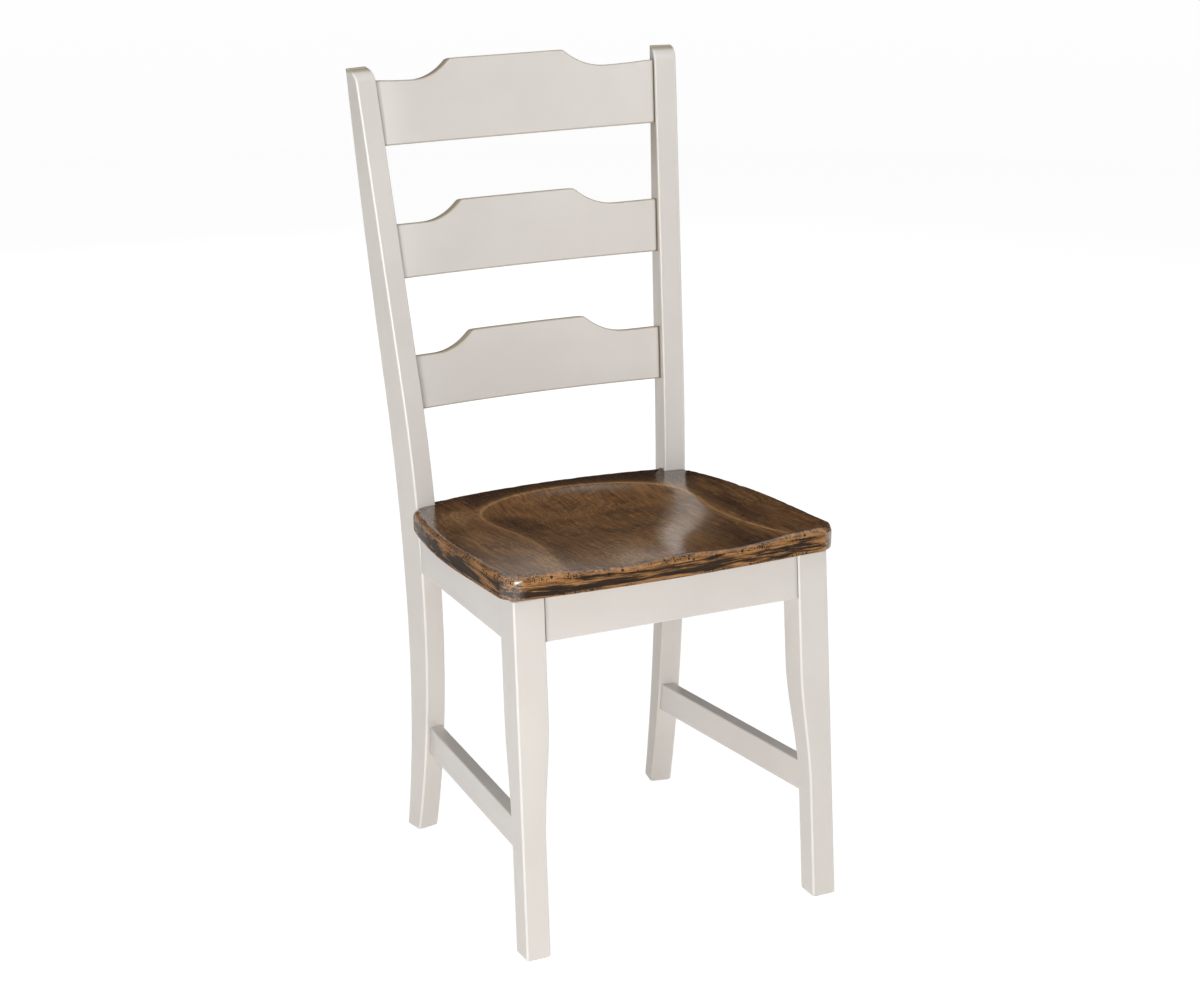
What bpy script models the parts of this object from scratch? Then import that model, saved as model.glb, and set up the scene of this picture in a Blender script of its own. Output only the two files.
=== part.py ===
"""Ladder-back dining side chair: painted frame, three bent slats and a scooped solid wood seat.

The chair faces -Y and +Z is up. Left and right are as seen from the front: left is -X.
The origin is on the floor, in the middle of the chair's footprint. Lengths are in metres.
"""
import bpy
import bmesh
from math import asin, cos, hypot, pi, radians, sin, sqrt, tan
from mathutils import Vector

# Fits
GAP = 0.0003
TENON_CLEARANCE = 0.0004
TENON_END_CLEARANCE = 0.0010

# Glides under the feet
GLIDE_HEIGHT = 0.0015
GLIDE_RADIUS = 0.0090
GLIDE_EDGE = 0.0005
GLIDE_NAIL_RADIUS = 0.0013
GLIDE_NAIL_LENGTH = 0.0140

# Front legs, measured at their outer front corner
FRONT_LEG_HEIGHT = 0.4270
FRONT_SPREAD_TOP = 0.4006
FRONT_SPREAD_FOOT = 0.4062
FRONT_FOOT_FORWARD = 0.0388
FRONT_LEG_TOP = 0.0388
FRONT_LEG_FOOT = 0.0301
RELIEF_START = 0.1420
RELIEF_END = 0.2860
EDGE_RADIUS = 0.0020
FOOT_CHAMFER = 0.0020

# Rear posts: one flat curved plank each, turned outwards and leaning outwards
POST_HEIGHT = 0.9495
POST_WIDTH = 0.0277
POST_TURN = radians(11.1)
POST_LEAN_OUT = 0.0200
POST_REFERENCE_HEIGHT = 0.4300
POST_SPREAD = 0.3648
POST_SETBACK = 0.3177
POST_BEND_HEIGHT = 0.2650
POST_BEND_RADIUS_BELOW = 1.1400
POST_BEND_RADIUS_ABOVE = 1.5900
BACK_RAKE = radians(11.3)
POST_DEPTH = 0.0415
POST_DEPTH_FOOT = 0.0263
POST_DEPTH_TOP = 0.0215
POST_TOP_RADIUS = 0.0160

# Seat board
SEAT_SLOPE = 0.0580
SEAT_TOP_SLOPE = 0.0630
SEAT_THICKNESS = 0.0285
SEAT_SIDE_OVERHANG = 0.0117
SEAT_POST_REVEAL = 0.0055
SEAT_FRONT_OVERHANG = 0.0188
SEAT_FRONT_BOW = 0.0090
SEAT_CORNER_RADIUS = 0.0270
SEAT_WIDEST_AT = 0.1200
SEAT_TONGUE_BEHIND_POST_FACE = 0.0160
SEAT_TONGUE_BOW = 0.0170
SEAT_UPPER_EDGE = 0.0055
SEAT_LOWER_EDGE = 0.0025
SEAT_NOTCH_EDGE = 0.0010
SCOOP_REAR_CENTRE = 0.2250
SCOOP_REAR_LENGTH = 0.0950
SCOOP_HALF_WIDTH = 0.1330
SCOOP_WAIST_AT = 0.1150
SCOOP_WAIST_HALF_WIDTH = 0.1220
SCOOP_FRONT_HALF_WIDTH = 0.1500
SCOOP_FLOOR_SHARE = 0.3500
SCOOP_DEPTH_REAR = 0.0100
SCOOP_DEPTH_FRONT = 0.0055
SCOOP_DEEPEST_AT = 0.2000
SCOOP_RIM_SOFTNESS = 0.0008
POMMEL_HALF_WIDTH = 0.0750
POMMEL_LENGTH = 0.1700
POMMEL_SHARE = 0.7500

# Aprons under the seat
APRON_HEIGHT = 0.0545
APRON_THICKNESS = 0.0190
APRON_INSET = 0.0015
REAR_APRON_INSET = 0.0040
APRON_TENON_THICKNESS = 0.0090
APRON_TENON_SHOULDER = 0.0070
FRONT_TENON_LENGTH = 0.0160
REAR_TENON_LENGTH = 0.0120
RAIL_EDGE = 0.0015

# Side stretchers
STRETCHER_FRONT_TOP = 0.1577
STRETCHER_REAR_TOP = 0.1482
STRETCHER_HEIGHT = 0.0367
STRETCHER_THICKNESS = 0.0175
STRETCHER_INSET = 0.0060
STRETCHER_TENON_THICKNESS = 0.0090
STRETCHER_TENON_SHOULDER = 0.0060
STRETCHER_TENON_LENGTH = 0.0140
STRETCHER_EDGE = 0.0020

# Bent slats of the back, placed down from the tops of the posts
CREST_BELOW_POST_TOP = 0.0901
SLAT_PITCH = 0.1560
SLAT_THICKNESS = 0.0143
SLAT_BEND_RADIUS = 0.5400
SLAT_HEIGHT = 0.0870
CREST_HEIGHT = 0.0980
SLAT_END_RISE = 0.0004
CREST_END_RISE = 0.0020
SLAT_DROP = 0.0225
SLAT_SCOOP_RADIUS = 0.0720
SLAT_SCOOP_END = 0.1280
SLAT_CORNER_SOFTNESS = 0.0020
SLAT_EDGE = 0.0020
SLAT_TENON_THICKNESS = 0.0080
SLAT_TENON_SHOULDER = 0.0060
SLAT_TENON_LENGTH = 0.0120
SLAT_BENT_SHARE = 0.9700

# Corner blocks and screws
BLOCK_NEAR = 0.0400
BLOCK_FAR = 0.0840
BLOCK_HEIGHT = 0.0280
BLOCK_SEAT_CLEARANCE = 0.0005
SCREW_RADIUS = 0.0020
SCREW_HEAD_RADIUS = 0.0040
SCREW_HEAD_HEIGHT = 0.0025
SCREW_POINT = 0.0040
SCREW_HOLE_CLEARANCE = 0.0003
SEAT_SCREW_BITE = 0.0130
SEAT_SCREW_RECESS = 0.0060
APRON_SCREW_BITE = 0.0120
APRON_SCREW_BODY = 0.0100

# Mesh fineness
CORNER_STEPS = 2
ROUND_SIDES = 16
POST_RING_SPACING = 0.0350
LEG_RING_COUNT = 7
POST_TOP_STEPS = 6
SLAT_STATIONS = 40
SEAT_EDGE_POINTS = 16
SEAT_CORNER_STEPS = 6
SEAT_EDGE_STEPS = 3
SEAT_SHELL_COUNT = 13

# Finishes: colour, roughness and metallic value
PAINT = ((0.68, 0.65, 0.61), 0.35, 0.0)
SEAT_STAIN = ((0.055, 0.026, 0.012), 0.35, 0.0)
RAW_WOOD = ((0.55, 0.40, 0.24), 0.65, 0.0)
STEEL = ((0.55, 0.55, 0.56), 0.35, 1.0)
NYLON = ((0.35, 0.30, 0.25), 0.50, 0.0)

LEFT = -1
RIGHT = 1
SIDES = ((LEFT, "left"), (RIGHT, "right"))


def clear_scene():
    """Remove every object that is already in the scene."""
    for existing in list(bpy.data.objects):
        bpy.data.objects.remove(existing, do_unlink=True)


def material(name, finish):
    """Return a material for one piece, with the colour, roughness and metallic value of its finish."""
    colour, roughness, metallic = finish
    made = bpy.data.materials.new(name)
    made.use_nodes = True
    shader = made.node_tree.nodes["Principled BSDF"]
    shader.inputs["Base Color"].default_value = (*colour, 1.0)
    shader.inputs["Roughness"].default_value = roughness
    shader.inputs["Metallic"].default_value = metallic
    return made


def centre_of(points):
    """Return the mean of some points."""
    return sum(points, Vector()) / len(points)


def band_rows(work, rings):
    """Add rings of points, all of the same count, and the bands of faces between them."""
    rows = [[work.verts.new(point) for point in ring] for ring in rings]
    count = len(rows[0])
    for low, high in zip(rows, rows[1:]):
        for index in range(count):
            after = (index + 1) % count
            work.faces.new((low[index], low[after], high[after], high[index]))
    return rows


def loft(name, rings, finish=None):
    """Join rings of points into one closed body with flat ends."""
    work = bmesh.new()
    rows = band_rows(work, rings)
    work.faces.new(list(reversed(rows[0])))
    work.faces.new(rows[-1])
    return finish_mesh(name, work, finish)


def finish_mesh(name, work, finish=None):
    """Turn a bmesh into an object with its origin at its middle; a cutter has no finish."""
    bmesh.ops.recalc_face_normals(work, faces=work.faces)
    if work.calc_volume(signed=True) < 0.0:
        bmesh.ops.reverse_faces(work, faces=work.faces)
    centre = centre_of([vertex.co for vertex in work.verts])
    bmesh.ops.translate(work, verts=work.verts, vec=-centre)
    mesh = bpy.data.meshes.new(name)
    work.to_mesh(mesh)
    work.free()
    made = bpy.data.objects.new(name, mesh)
    made.location = centre
    bpy.context.collection.objects.link(made)
    if finish:
        mesh.materials.append(material(name, finish))
    mesh.shade_smooth()
    mesh.set_sharp_from_angle(angle=radians(35))
    return made


def cut(target, cutter):
    """Subtract a cutter, kept in the file as a wire guide, from a piece."""
    cutter.hide_render = True
    cutter.display_type = "WIRE"
    step = target.modifiers.new(f"cut_{cutter.name}", "BOOLEAN")
    step.operation = "DIFFERENCE"
    step.solver = "EXACT"
    step.object = cutter


def rounded(corners, radius, steps=CORNER_STEPS):
    """Round the corners of a four-sided outline of vectors."""
    outline = []
    count = len(corners)
    for index, corner in enumerate(corners):
        to_last = (corners[index - 1] - corner).normalized() * radius
        to_next = (corners[(index + 1) % count] - corner).normalized() * radius
        for step in range(steps + 1):
            turn = 0.5 * pi * step / steps
            outline.append(corner + to_last * (1.0 - sin(turn)) + to_next * (1.0 - cos(turn)))
    return outline


class Plane:
    """A flat face that a rail meets, given by a point on it and its normal."""

    def __init__(self, point, normal):
        self.point = point
        self.normal = normal.normalized()

    def moved(self, distance):
        """Return the plane shifted along its normal."""
        return Plane(self.point + self.normal * distance, self.normal)

    def meet(self, start, end):
        """Return where the line through two points crosses the plane."""
        along = end - start
        return start + along * ((self.point - start).dot(self.normal) / along.dot(self.normal))


# Shape of the front legs

def front_face_y(height):
    """Front face of the front legs: it leans back from the foot to the seat."""
    return -FRONT_FOOT_FORWARD * (1.0 - height / FRONT_LEG_HEIGHT)


def front_outer_x(height):
    """Outer face of the right front leg."""
    foot = 0.5 * FRONT_SPREAD_FOOT
    return foot + (0.5 * FRONT_SPREAD_TOP - foot) * height / FRONT_LEG_HEIGHT


def front_leg_size(height):
    """Width and depth of a front leg: the inner and rear faces are relieved below the stretcher."""
    share = min(max((height - RELIEF_START) / (RELIEF_END - RELIEF_START), 0.0), 1.0)
    eased = share * share * (3.0 - 2.0 * share)
    return FRONT_LEG_FOOT + (FRONT_LEG_TOP - FRONT_LEG_FOOT) * eased


def front_leg_corners(side, height, inset=0.0):
    """Corners of a front leg at one height, running round from the outer front one."""
    size = front_leg_size(height)
    outer = front_outer_x(height) - inset
    front = front_face_y(height) + inset
    inner = front_outer_x(height) - size + inset
    rear = front_face_y(height) + size - inset
    return [Vector((side * outer, front, height)), Vector((side * inner, front, height)),
            Vector((side * inner, rear, height)), Vector((side * outer, rear, height))]


# Shape of the rear posts

def post_front(height):
    """Distance of a post's front face behind its face at the bend, in the plank's own plane."""
    if height < POST_BEND_HEIGHT:
        rise = POST_BEND_HEIGHT - height
        return POST_BEND_RADIUS_BELOW - sqrt(POST_BEND_RADIUS_BELOW ** 2 - rise ** 2)
    rise = height - POST_BEND_HEIGHT
    straight_from = POST_BEND_RADIUS_ABOVE * sin(BACK_RAKE)
    bent = min(rise, straight_from)
    back = POST_BEND_RADIUS_ABOVE - sqrt(POST_BEND_RADIUS_ABOVE ** 2 - bent ** 2)
    return back + max(rise - straight_from, 0.0) * tan(BACK_RAKE)


def post_depth(height):
    """Depth of a post: greatest at the seat, tapering to the foot and to the top."""
    if height < POST_REFERENCE_HEIGHT:
        share = (POST_REFERENCE_HEIGHT - height) / POST_REFERENCE_HEIGHT
        return POST_DEPTH - (POST_DEPTH - POST_DEPTH_FOOT) * share ** 2
    share = (height - POST_REFERENCE_HEIGHT) / (POST_HEIGHT - POST_REFERENCE_HEIGHT)
    return POST_DEPTH - (POST_DEPTH - POST_DEPTH_TOP) * share ** 2


def post_back(side):
    """Direction across a post's depth, towards the back."""
    return Vector((side * sin(POST_TURN), cos(POST_TURN), 0.0))


def post_inward(side):
    """Direction across a post's width, from its outer face to its inner face."""
    return Vector((-side * cos(POST_TURN), sin(POST_TURN), 0.0))


def post_point(side, height, across, behind):
    """Point of a post: across from its outer face, behind from its front face."""
    base = Vector((side * 0.5 * POST_SPREAD, POST_SETBACK, height))
    base.x += side * POST_LEAN_OUT * (height - POST_REFERENCE_HEIGHT)
    swept = post_front(height) - post_front(POST_REFERENCE_HEIGHT)
    return base + post_back(side) * (swept + behind) + post_inward(side) * across


def post_corners(side, height, inset=0.0, front_cut=0.0):
    """Corners of a post at one height, running round from the outer front one."""
    depth = post_depth(height)
    return [post_point(side, height, inset, inset + front_cut),
            post_point(side, height, POST_WIDTH - inset, inset + front_cut),
            post_point(side, height, POST_WIDTH - inset, depth - inset),
            post_point(side, height, inset, depth - inset)]


def post_front_plane(side, low, high):
    """Front face of a post between two heights."""
    bottom = post_point(side, low, 0.0, 0.0)
    top = post_point(side, high, 0.0, 0.0)
    normal = (top - bottom).cross(post_inward(side)) * -side
    return Plane((bottom + top) / 2.0, -normal if normal.y > 0.0 else normal)


def post_inner_plane(side):
    """Inner face of a post, which is flat from the foot to the top."""
    low = post_point(side, 0.0, POST_WIDTH, 0.0)
    high = post_point(side, POST_HEIGHT, POST_WIDTH, 0.0)
    normal = (high - low).cross(post_back(side))
    return Plane(low, -normal if normal.x * side > 0.0 else normal)


def front_inner_plane(side):
    """Inner face of a front leg above its relief."""
    low = front_leg_corners(side, RELIEF_END)
    high = front_leg_corners(side, FRONT_LEG_HEIGHT)
    normal = (high[1] - low[1]).cross(low[2] - low[1])
    return Plane(low[1], -normal if normal.x * side > 0.0 else normal)


def front_rear_plane(side, low, high):
    """Rear face of a front leg between two heights."""
    bottom = front_leg_corners(side, low)
    top = front_leg_corners(side, high)
    normal = (top[2] - bottom[2]).cross(bottom[3] - bottom[2])
    return Plane((bottom[2] + top[2]) / 2.0, -normal if normal.y < 0.0 else normal)


# Rails with tenons

def section_point(section, across, up):
    """Point of a four-cornered section: bottom outer, bottom inner, top inner, top outer."""
    low = section[0].lerp(section[1], across)
    high = section[3].lerp(section[2], across)
    return low.lerp(high, up)


def tenon_outline(section, thickness, shoulder, grow):
    """Outline of a tenon, centred in the section's thickness and shouldered above and below."""
    width = (section[1] - section[0]).length
    height = (section[3] - section[0]).length
    side = 0.5 * (width - thickness) - grow
    end = shoulder - grow
    low_across, high_across = side / width, 1.0 - side / width
    low_up, high_up = end / height, 1.0 - end / height
    corners = [section_point(section, low_across, low_up), section_point(section, high_across, low_up),
               section_point(section, high_across, high_up), section_point(section, low_across, high_up)]
    return rounded(corners, EDGE_RADIUS)


def rail(name, start, end, start_plane, end_plane, edge, tenon, finish):
    """Build a straight rail between two faces, with a tenon at each end, and its mortise cutters.

    start and end are the section's corners near each end; the planes' normals point at the rail.
    """
    thickness, shoulder, start_length, end_length = tenon
    body = (rounded(start, edge), rounded(end, edge))
    peg = (tenon_outline(start, thickness, shoulder, 0.0), tenon_outline(end, thickness, shoulder, 0.0))
    hole = (tenon_outline(start, thickness, shoulder, TENON_CLEARANCE),
            tenon_outline(end, thickness, shoulder, TENON_CLEARANCE))

    def ring(pair, plane, distance):
        face = plane.moved(distance)
        return [face.meet(first, second) for first, second in zip(*pair)]

    made = loft(name, [ring(peg, start_plane, -start_length), ring(peg, start_plane, GAP),
                       ring(body, start_plane, GAP), ring(body, end_plane, GAP),
                       ring(peg, end_plane, GAP), ring(peg, end_plane, -end_length)], finish)
    first = loft(f"{name}_mortise_start", [ring(hole, start_plane, -start_length - TENON_END_CLEARANCE),
                                           ring(hole, start_plane, TENON_END_CLEARANCE)])
    second = loft(f"{name}_mortise_end", [ring(hole, end_plane, -end_length - TENON_END_CLEARANCE),
                                          ring(hole, end_plane, TENON_END_CLEARANCE)])
    return made, first, second


# Seat plane and aprons

def seat_underside(back):
    """Height of the seat's underside, which slopes down to the rear."""
    return FRONT_LEG_HEIGHT - SEAT_SLOPE * back


def front_apron_section():
    """Section of the front apron at X = 0, leaning with the legs' front faces."""
    lean = FRONT_FOOT_FORWARD / FRONT_LEG_HEIGHT
    front_top = APRON_INSET
    rear_top = APRON_INSET + APRON_THICKNESS
    outer_top = Vector((0.0, front_top, seat_underside(front_top) - GAP))
    inner_top = Vector((0.0, rear_top, seat_underside(rear_top) - GAP))
    down = Vector((0.0, -lean, -1.0)) * APRON_HEIGHT
    return [outer_top + down, inner_top + down, inner_top, outer_top]


def rear_apron_section():
    """Section of the rear apron at X = 0, upright, near the posts' rear faces."""
    rear = post_point(LEFT, POST_REFERENCE_HEIGHT, POST_WIDTH, POST_DEPTH - REAR_APRON_INSET).y
    front = rear - APRON_THICKNESS
    outer_top = Vector((0.0, rear, seat_underside(rear) - GAP))
    inner_top = Vector((0.0, front, seat_underside(front) - GAP))
    down = Vector((0.0, 0.0, -APRON_HEIGHT))
    return [outer_top + down, inner_top + down, inner_top, outer_top]


def slide(section, distance):
    """Move a section along X."""
    return [corner + Vector((distance, 0.0, 0.0)) for corner in section]


def side_section_front(side, inset, thickness, top, height, under_seat):
    """Section of a side rail where it leaves the front leg."""
    rear = front_face_y(top) + front_leg_size(top)
    outer = side * (front_outer_x(top) - inset)
    inner = outer - side * thickness
    high = seat_underside(rear) - GAP if under_seat else top
    low = high - height
    return [Vector((outer, rear, low)), Vector((inner, rear, low)),
            Vector((inner, rear, high)), Vector((outer, rear, high))]


def side_section_rear(side, inset, thickness, top, height, under_seat):
    """Section of a side rail where it meets the post."""
    outer = post_point(side, top, inset, 0.0)
    inner = post_point(side, top, inset + thickness, 0.0)
    outer_top = seat_underside(outer.y) - GAP if under_seat else top
    inner_top = seat_underside(inner.y) - GAP if under_seat else top
    return [Vector((outer.x, outer.y, outer_top - height)), Vector((inner.x, inner.y, inner_top - height)),
            Vector((inner.x, inner.y, inner_top)), Vector((outer.x, outer.y, outer_top))]


# Slats

class Slat:
    """One bent slat: its place between the posts and the shape of its sections."""

    up = Vector((0.0, sin(BACK_RAKE), cos(BACK_RAKE)))
    back = Vector((0.0, cos(BACK_RAKE), -sin(BACK_RAKE)))

    def __init__(self, name, bottom, height, end_rise):
        self.name = name
        self.height = height
        self.end_rise = end_rise
        recess = 0.5 * (post_depth(bottom + 0.5 * height) - SLAT_THICKNESS)
        end_face = post_point(RIGHT, bottom, POST_WIDTH, recess)
        self.half_angle = asin(end_face.x / SLAT_BEND_RADIUS)
        bow = SLAT_BEND_RADIUS * (1.0 - cos(self.half_angle))
        self.root = Vector((0.0, end_face.y, bottom)) + self.back * bow

    def top(self, angle):
        """Height of the top edge: a raised flat, an ogee down on each side, and ends that rise a little."""
        distance = abs(SLAT_BEND_RADIUS * angle)
        reach = min(max(SLAT_SCOOP_END - distance, 0.0), 0.97 * SLAT_SCOOP_RADIUS)
        scooped = self.height - SLAT_DROP + SLAT_SCOOP_RADIUS - sqrt(SLAT_SCOOP_RADIUS ** 2 - reach ** 2)
        over = scooped - self.height
        blended = 0.5 * (scooped + self.height - sqrt(over * over + SLAT_CORNER_SOFTNESS ** 2))
        half_length = SLAT_BEND_RADIUS * self.half_angle
        end_share = max(distance - SLAT_SCOOP_END, 0.0) / (half_length - SLAT_SCOOP_END)
        return blended + self.end_rise * end_share ** 2

    def section(self, angle, thickness, trim):
        """Outline of the slat at one place along its bend, or of its tenon with the edges trimmed off."""
        near = 0.5 * (SLAT_THICKNESS - thickness)
        far = SLAT_THICKNESS - near
        low, high = trim, self.top(angle) - trim
        corners = [Vector((near, low)), Vector((far, low)), Vector((far, high)), Vector((near, high))]
        across = Vector((sin(angle), 0.0, 0.0)) + self.back * cos(angle)
        centre = self.root - self.back * SLAT_BEND_RADIUS
        return [centre + across * (SLAT_BEND_RADIUS + point.x) + self.up * point.y
                for point in rounded(corners, SLAT_EDGE)]

    def end(self, side, thickness, trim, distance):
        """Section carried straight on to a plane at some distance from the post's inner face."""
        angle = side * SLAT_BENT_SHARE * self.half_angle
        face = post_inner_plane(side).moved(distance)
        along = Vector((cos(angle), 0.0, 0.0)) - self.back * sin(angle)
        return [face.meet(point, point + along) for point in self.section(angle, thickness, trim)]

    def build(self, finish):
        """Build the slat with a tenon at each end."""
        tenon = (SLAT_TENON_THICKNESS, SLAT_TENON_SHOULDER)
        whole = (SLAT_THICKNESS, 0.0)
        rings = [self.end(LEFT, *tenon, -SLAT_TENON_LENGTH), self.end(LEFT, *tenon, GAP),
                 self.end(LEFT, *whole, GAP)]
        bent = SLAT_BENT_SHARE * self.half_angle
        rings += [self.section(bent * (2.0 * step / SLAT_STATIONS - 1.0), *whole)
                  for step in range(SLAT_STATIONS + 1)]
        rings += [self.end(RIGHT, *whole, GAP), self.end(RIGHT, *tenon, GAP),
                  self.end(RIGHT, *tenon, -SLAT_TENON_LENGTH)]
        return loft(self.name, rings, finish)

    def mortise(self, side, label):
        """Build the cutter for the mortise that the tenon on one side sits in."""
        room = (SLAT_TENON_THICKNESS + 2.0 * TENON_CLEARANCE, SLAT_TENON_SHOULDER - TENON_CLEARANCE)
        deep = self.end(side, *room, -SLAT_TENON_LENGTH - TENON_END_CLEARANCE)
        mouth = self.end(side, *room, TENON_END_CLEARANCE)
        return loft(f"{self.name}_mortise_{label}", [deep, mouth])


# Seat

def ease(share):
    """Rise smoothly from 0 to 1 as the share does."""
    held = min(max(share, 0.0), 1.0)
    return held * held * (3.0 - 2.0 * held)


def scoop_reach(across, back):
    """Distance from the scoop's middle line, 1 at its rim: round at the rear, waisted further forward."""
    if back > SCOOP_REAR_CENTRE:
        return hypot(across / SCOOP_HALF_WIDTH, (back - SCOOP_REAR_CENTRE) / SCOOP_REAR_LENGTH)
    if back > SCOOP_WAIST_AT:
        share = ease((back - SCOOP_WAIST_AT) / (SCOOP_REAR_CENTRE - SCOOP_WAIST_AT))
        width = SCOOP_WAIST_HALF_WIDTH + (SCOOP_HALF_WIDTH - SCOOP_WAIST_HALF_WIDTH) * share
    else:
        share = ((SCOOP_WAIST_AT - back) / (SCOOP_WAIST_AT + SEAT_FRONT_OVERHANG)) ** 2
        width = SCOOP_WAIST_HALF_WIDTH + (SCOOP_FRONT_HALF_WIDTH - SCOOP_WAIST_HALF_WIDTH) * share
    return abs(across) / width


def seat_dish(across, back):
    """Depth of the scoop: a bowl at the rear, and two thigh hollows beside a pommel at the front."""
    bank = max(scoop_reach(across, back) - SCOOP_FLOOR_SHARE, 0.0) / (1.0 - SCOOP_FLOOR_SHARE)
    floor = SCOOP_DEPTH_FRONT + (SCOOP_DEPTH_REAR - SCOOP_DEPTH_FRONT) * ease(back / SCOOP_DEEPEST_AT)
    ridge = POMMEL_SHARE * ease(1.0 - abs(across) / POMMEL_HALF_WIDTH)
    ridge *= 1.0 - ease((back + SEAT_FRONT_OVERHANG) / POMMEL_LENGTH)
    depth = floor * (1.0 - bank * bank) * (1.0 - ridge)
    return 0.5 * (depth + sqrt(depth * depth + SCOOP_RIM_SOFTNESS ** 2)) if bank < 2.0 else 0.0


def seat_top(across, back):
    """Height of the seat's upper surface."""
    return FRONT_LEG_HEIGHT + SEAT_THICKNESS - SEAT_TOP_SLOPE * back - seat_dish(across, back)


def seat_half_width():
    """Half of the seat's width where it is widest, over the front legs."""
    return 0.5 * FRONT_SPREAD_TOP + SEAT_SIDE_OVERHANG


def seat_side_x(back):
    """Half width of the seat: it narrows behind its widest place, to a reveal outside the post."""
    share = max(back - SEAT_WIDEST_AT, 0.0) / (POST_SETBACK - SEAT_WIDEST_AT)
    narrowing = seat_half_width() - 0.5 * POST_SPREAD - SEAT_POST_REVEAL
    return seat_half_width() - narrowing * share ** 2


def seat_half_outline(height):
    """Right half of the seat's outline at one height, from the front middle to the rear middle.

    Each point comes with the radius of the edge there.
    """
    points = []
    corner_x = seat_half_width() - SEAT_CORNER_RADIUS
    front = -SEAT_FRONT_OVERHANG
    corner_y = front + SEAT_FRONT_BOW + SEAT_CORNER_RADIUS
    for step in range(SEAT_EDGE_POINTS):
        across = corner_x * step / SEAT_EDGE_POINTS
        points.append((across, front + SEAT_FRONT_BOW * (across / corner_x) ** 2, SEAT_UPPER_EDGE))
    for step in range(SEAT_CORNER_STEPS + 1):
        turn = 0.5 * pi * step / SEAT_CORNER_STEPS
        points.append((corner_x + SEAT_CORNER_RADIUS * sin(turn), corner_y - SEAT_CORNER_RADIUS * cos(turn),
                       SEAT_UPPER_EDGE))
    flush = post_point(RIGHT, height, 0.0, -GAP)
    for step in range(1, SEAT_EDGE_POINTS):
        back = corner_y + (flush.y - corner_y) * step / SEAT_EDGE_POINTS
        points.append((seat_side_x(back), back, SEAT_UPPER_EDGE))
    notch_outer = post_point(RIGHT, height, SEAT_UPPER_EDGE, -GAP)
    notch_mid = post_point(RIGHT, height, 0.5 * POST_WIDTH, -GAP)
    notch_inner = post_point(RIGHT, height, POST_WIDTH + GAP, -GAP)
    tongue = post_point(RIGHT, height, POST_WIDTH + GAP, SEAT_TONGUE_BEHIND_POST_FACE)
    points += [(place.x, place.y, SEAT_NOTCH_EDGE) for place in (notch_outer, notch_mid, notch_inner)]
    points.append((tongue.x, tongue.y, SEAT_NOTCH_EDGE))
    for step in range(1, SEAT_EDGE_POINTS + 1):
        across = tongue.x * (1.0 - step / SEAT_EDGE_POINTS)
        back = tongue.y + SEAT_TONGUE_BOW * (1.0 - (across / tongue.x) ** 2)
        points.append((across, back, SEAT_UPPER_EDGE))
    return points


def seat_outline(height):
    """Whole outline of the seat at one height."""
    half = seat_half_outline(height)
    mirrored = [(-across, back, edge) for across, back, edge in reversed(half[1:-1])]
    return half + mirrored


def offset_outline(outline, share):
    """Move an outline inwards by a share of each point's edge radius."""
    moved = []
    count = len(outline)
    for index, (across, back, edge) in enumerate(outline):
        last = outline[index - 1]
        following = outline[(index + 1) % count]
        first = Vector((across - last[0], back - last[1])).normalized()
        second = Vector((following[0] - across, following[1] - back)).normalized()
        inward = Vector((-(first.y + second.y), first.x + second.x))
        inward.normalize()
        reach = edge * share / max(inward.dot(Vector((-second.y, second.x))), 0.5)
        moved.append((across + inward.x * reach, back + inward.y * reach, edge))
    return moved


def seat_board(finish):
    """Build the scooped seat board with eased edges and a notch round each post."""
    middle_back = 0.5 * (POST_SETBACK - SEAT_FRONT_OVERHANG)
    low_level = seat_underside(POST_SETBACK)
    lower_outline = [(x, y, min(edge, SEAT_LOWER_EDGE)) for x, y, edge in seat_outline(low_level)]
    upper_outline = seat_outline(low_level + SEAT_THICKNESS)
    rings = []
    for step in range(SEAT_EDGE_STEPS + 1):
        turn = 0.5 * pi * step / SEAT_EDGE_STEPS
        outline = offset_outline(lower_outline, 1.0 - sin(turn))
        lift = 1.0 - cos(turn)
        rings.append([Vector((x, y, seat_underside(y) + edge * lift)) for x, y, edge in outline])
    for step in range(SEAT_EDGE_STEPS + 1):
        turn = 0.5 * pi * step / SEAT_EDGE_STEPS
        outline = offset_outline(upper_outline, 1.0 - cos(turn))
        drop = 1.0 - sin(turn)
        rings.append([Vector((x, y, seat_top(x, y) - edge * drop)) for x, y, edge in outline])
    rim = rings[-1]
    for step in range(1, SEAT_SHELL_COUNT):
        share = 1.0 - step / SEAT_SHELL_COUNT
        shell = []
        for point in rim:
            across = point.x * share
            back = middle_back + (point.y - middle_back) * share
            shell.append(Vector((across, back, seat_top(across, back))))
        rings.append(shell)
    work = bmesh.new()
    rows = band_rows(work, rings)
    work.faces.new(list(reversed(rows[0])))
    peak = work.verts.new((0.0, middle_back, seat_top(0.0, middle_back)))
    inner = rows[-1]
    for index, vertex in enumerate(inner):
        work.faces.new((vertex, inner[(index + 1) % len(inner)], peak))
    return finish_mesh("seat_board", work, finish)


# Turned pieces: screws and glides

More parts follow.
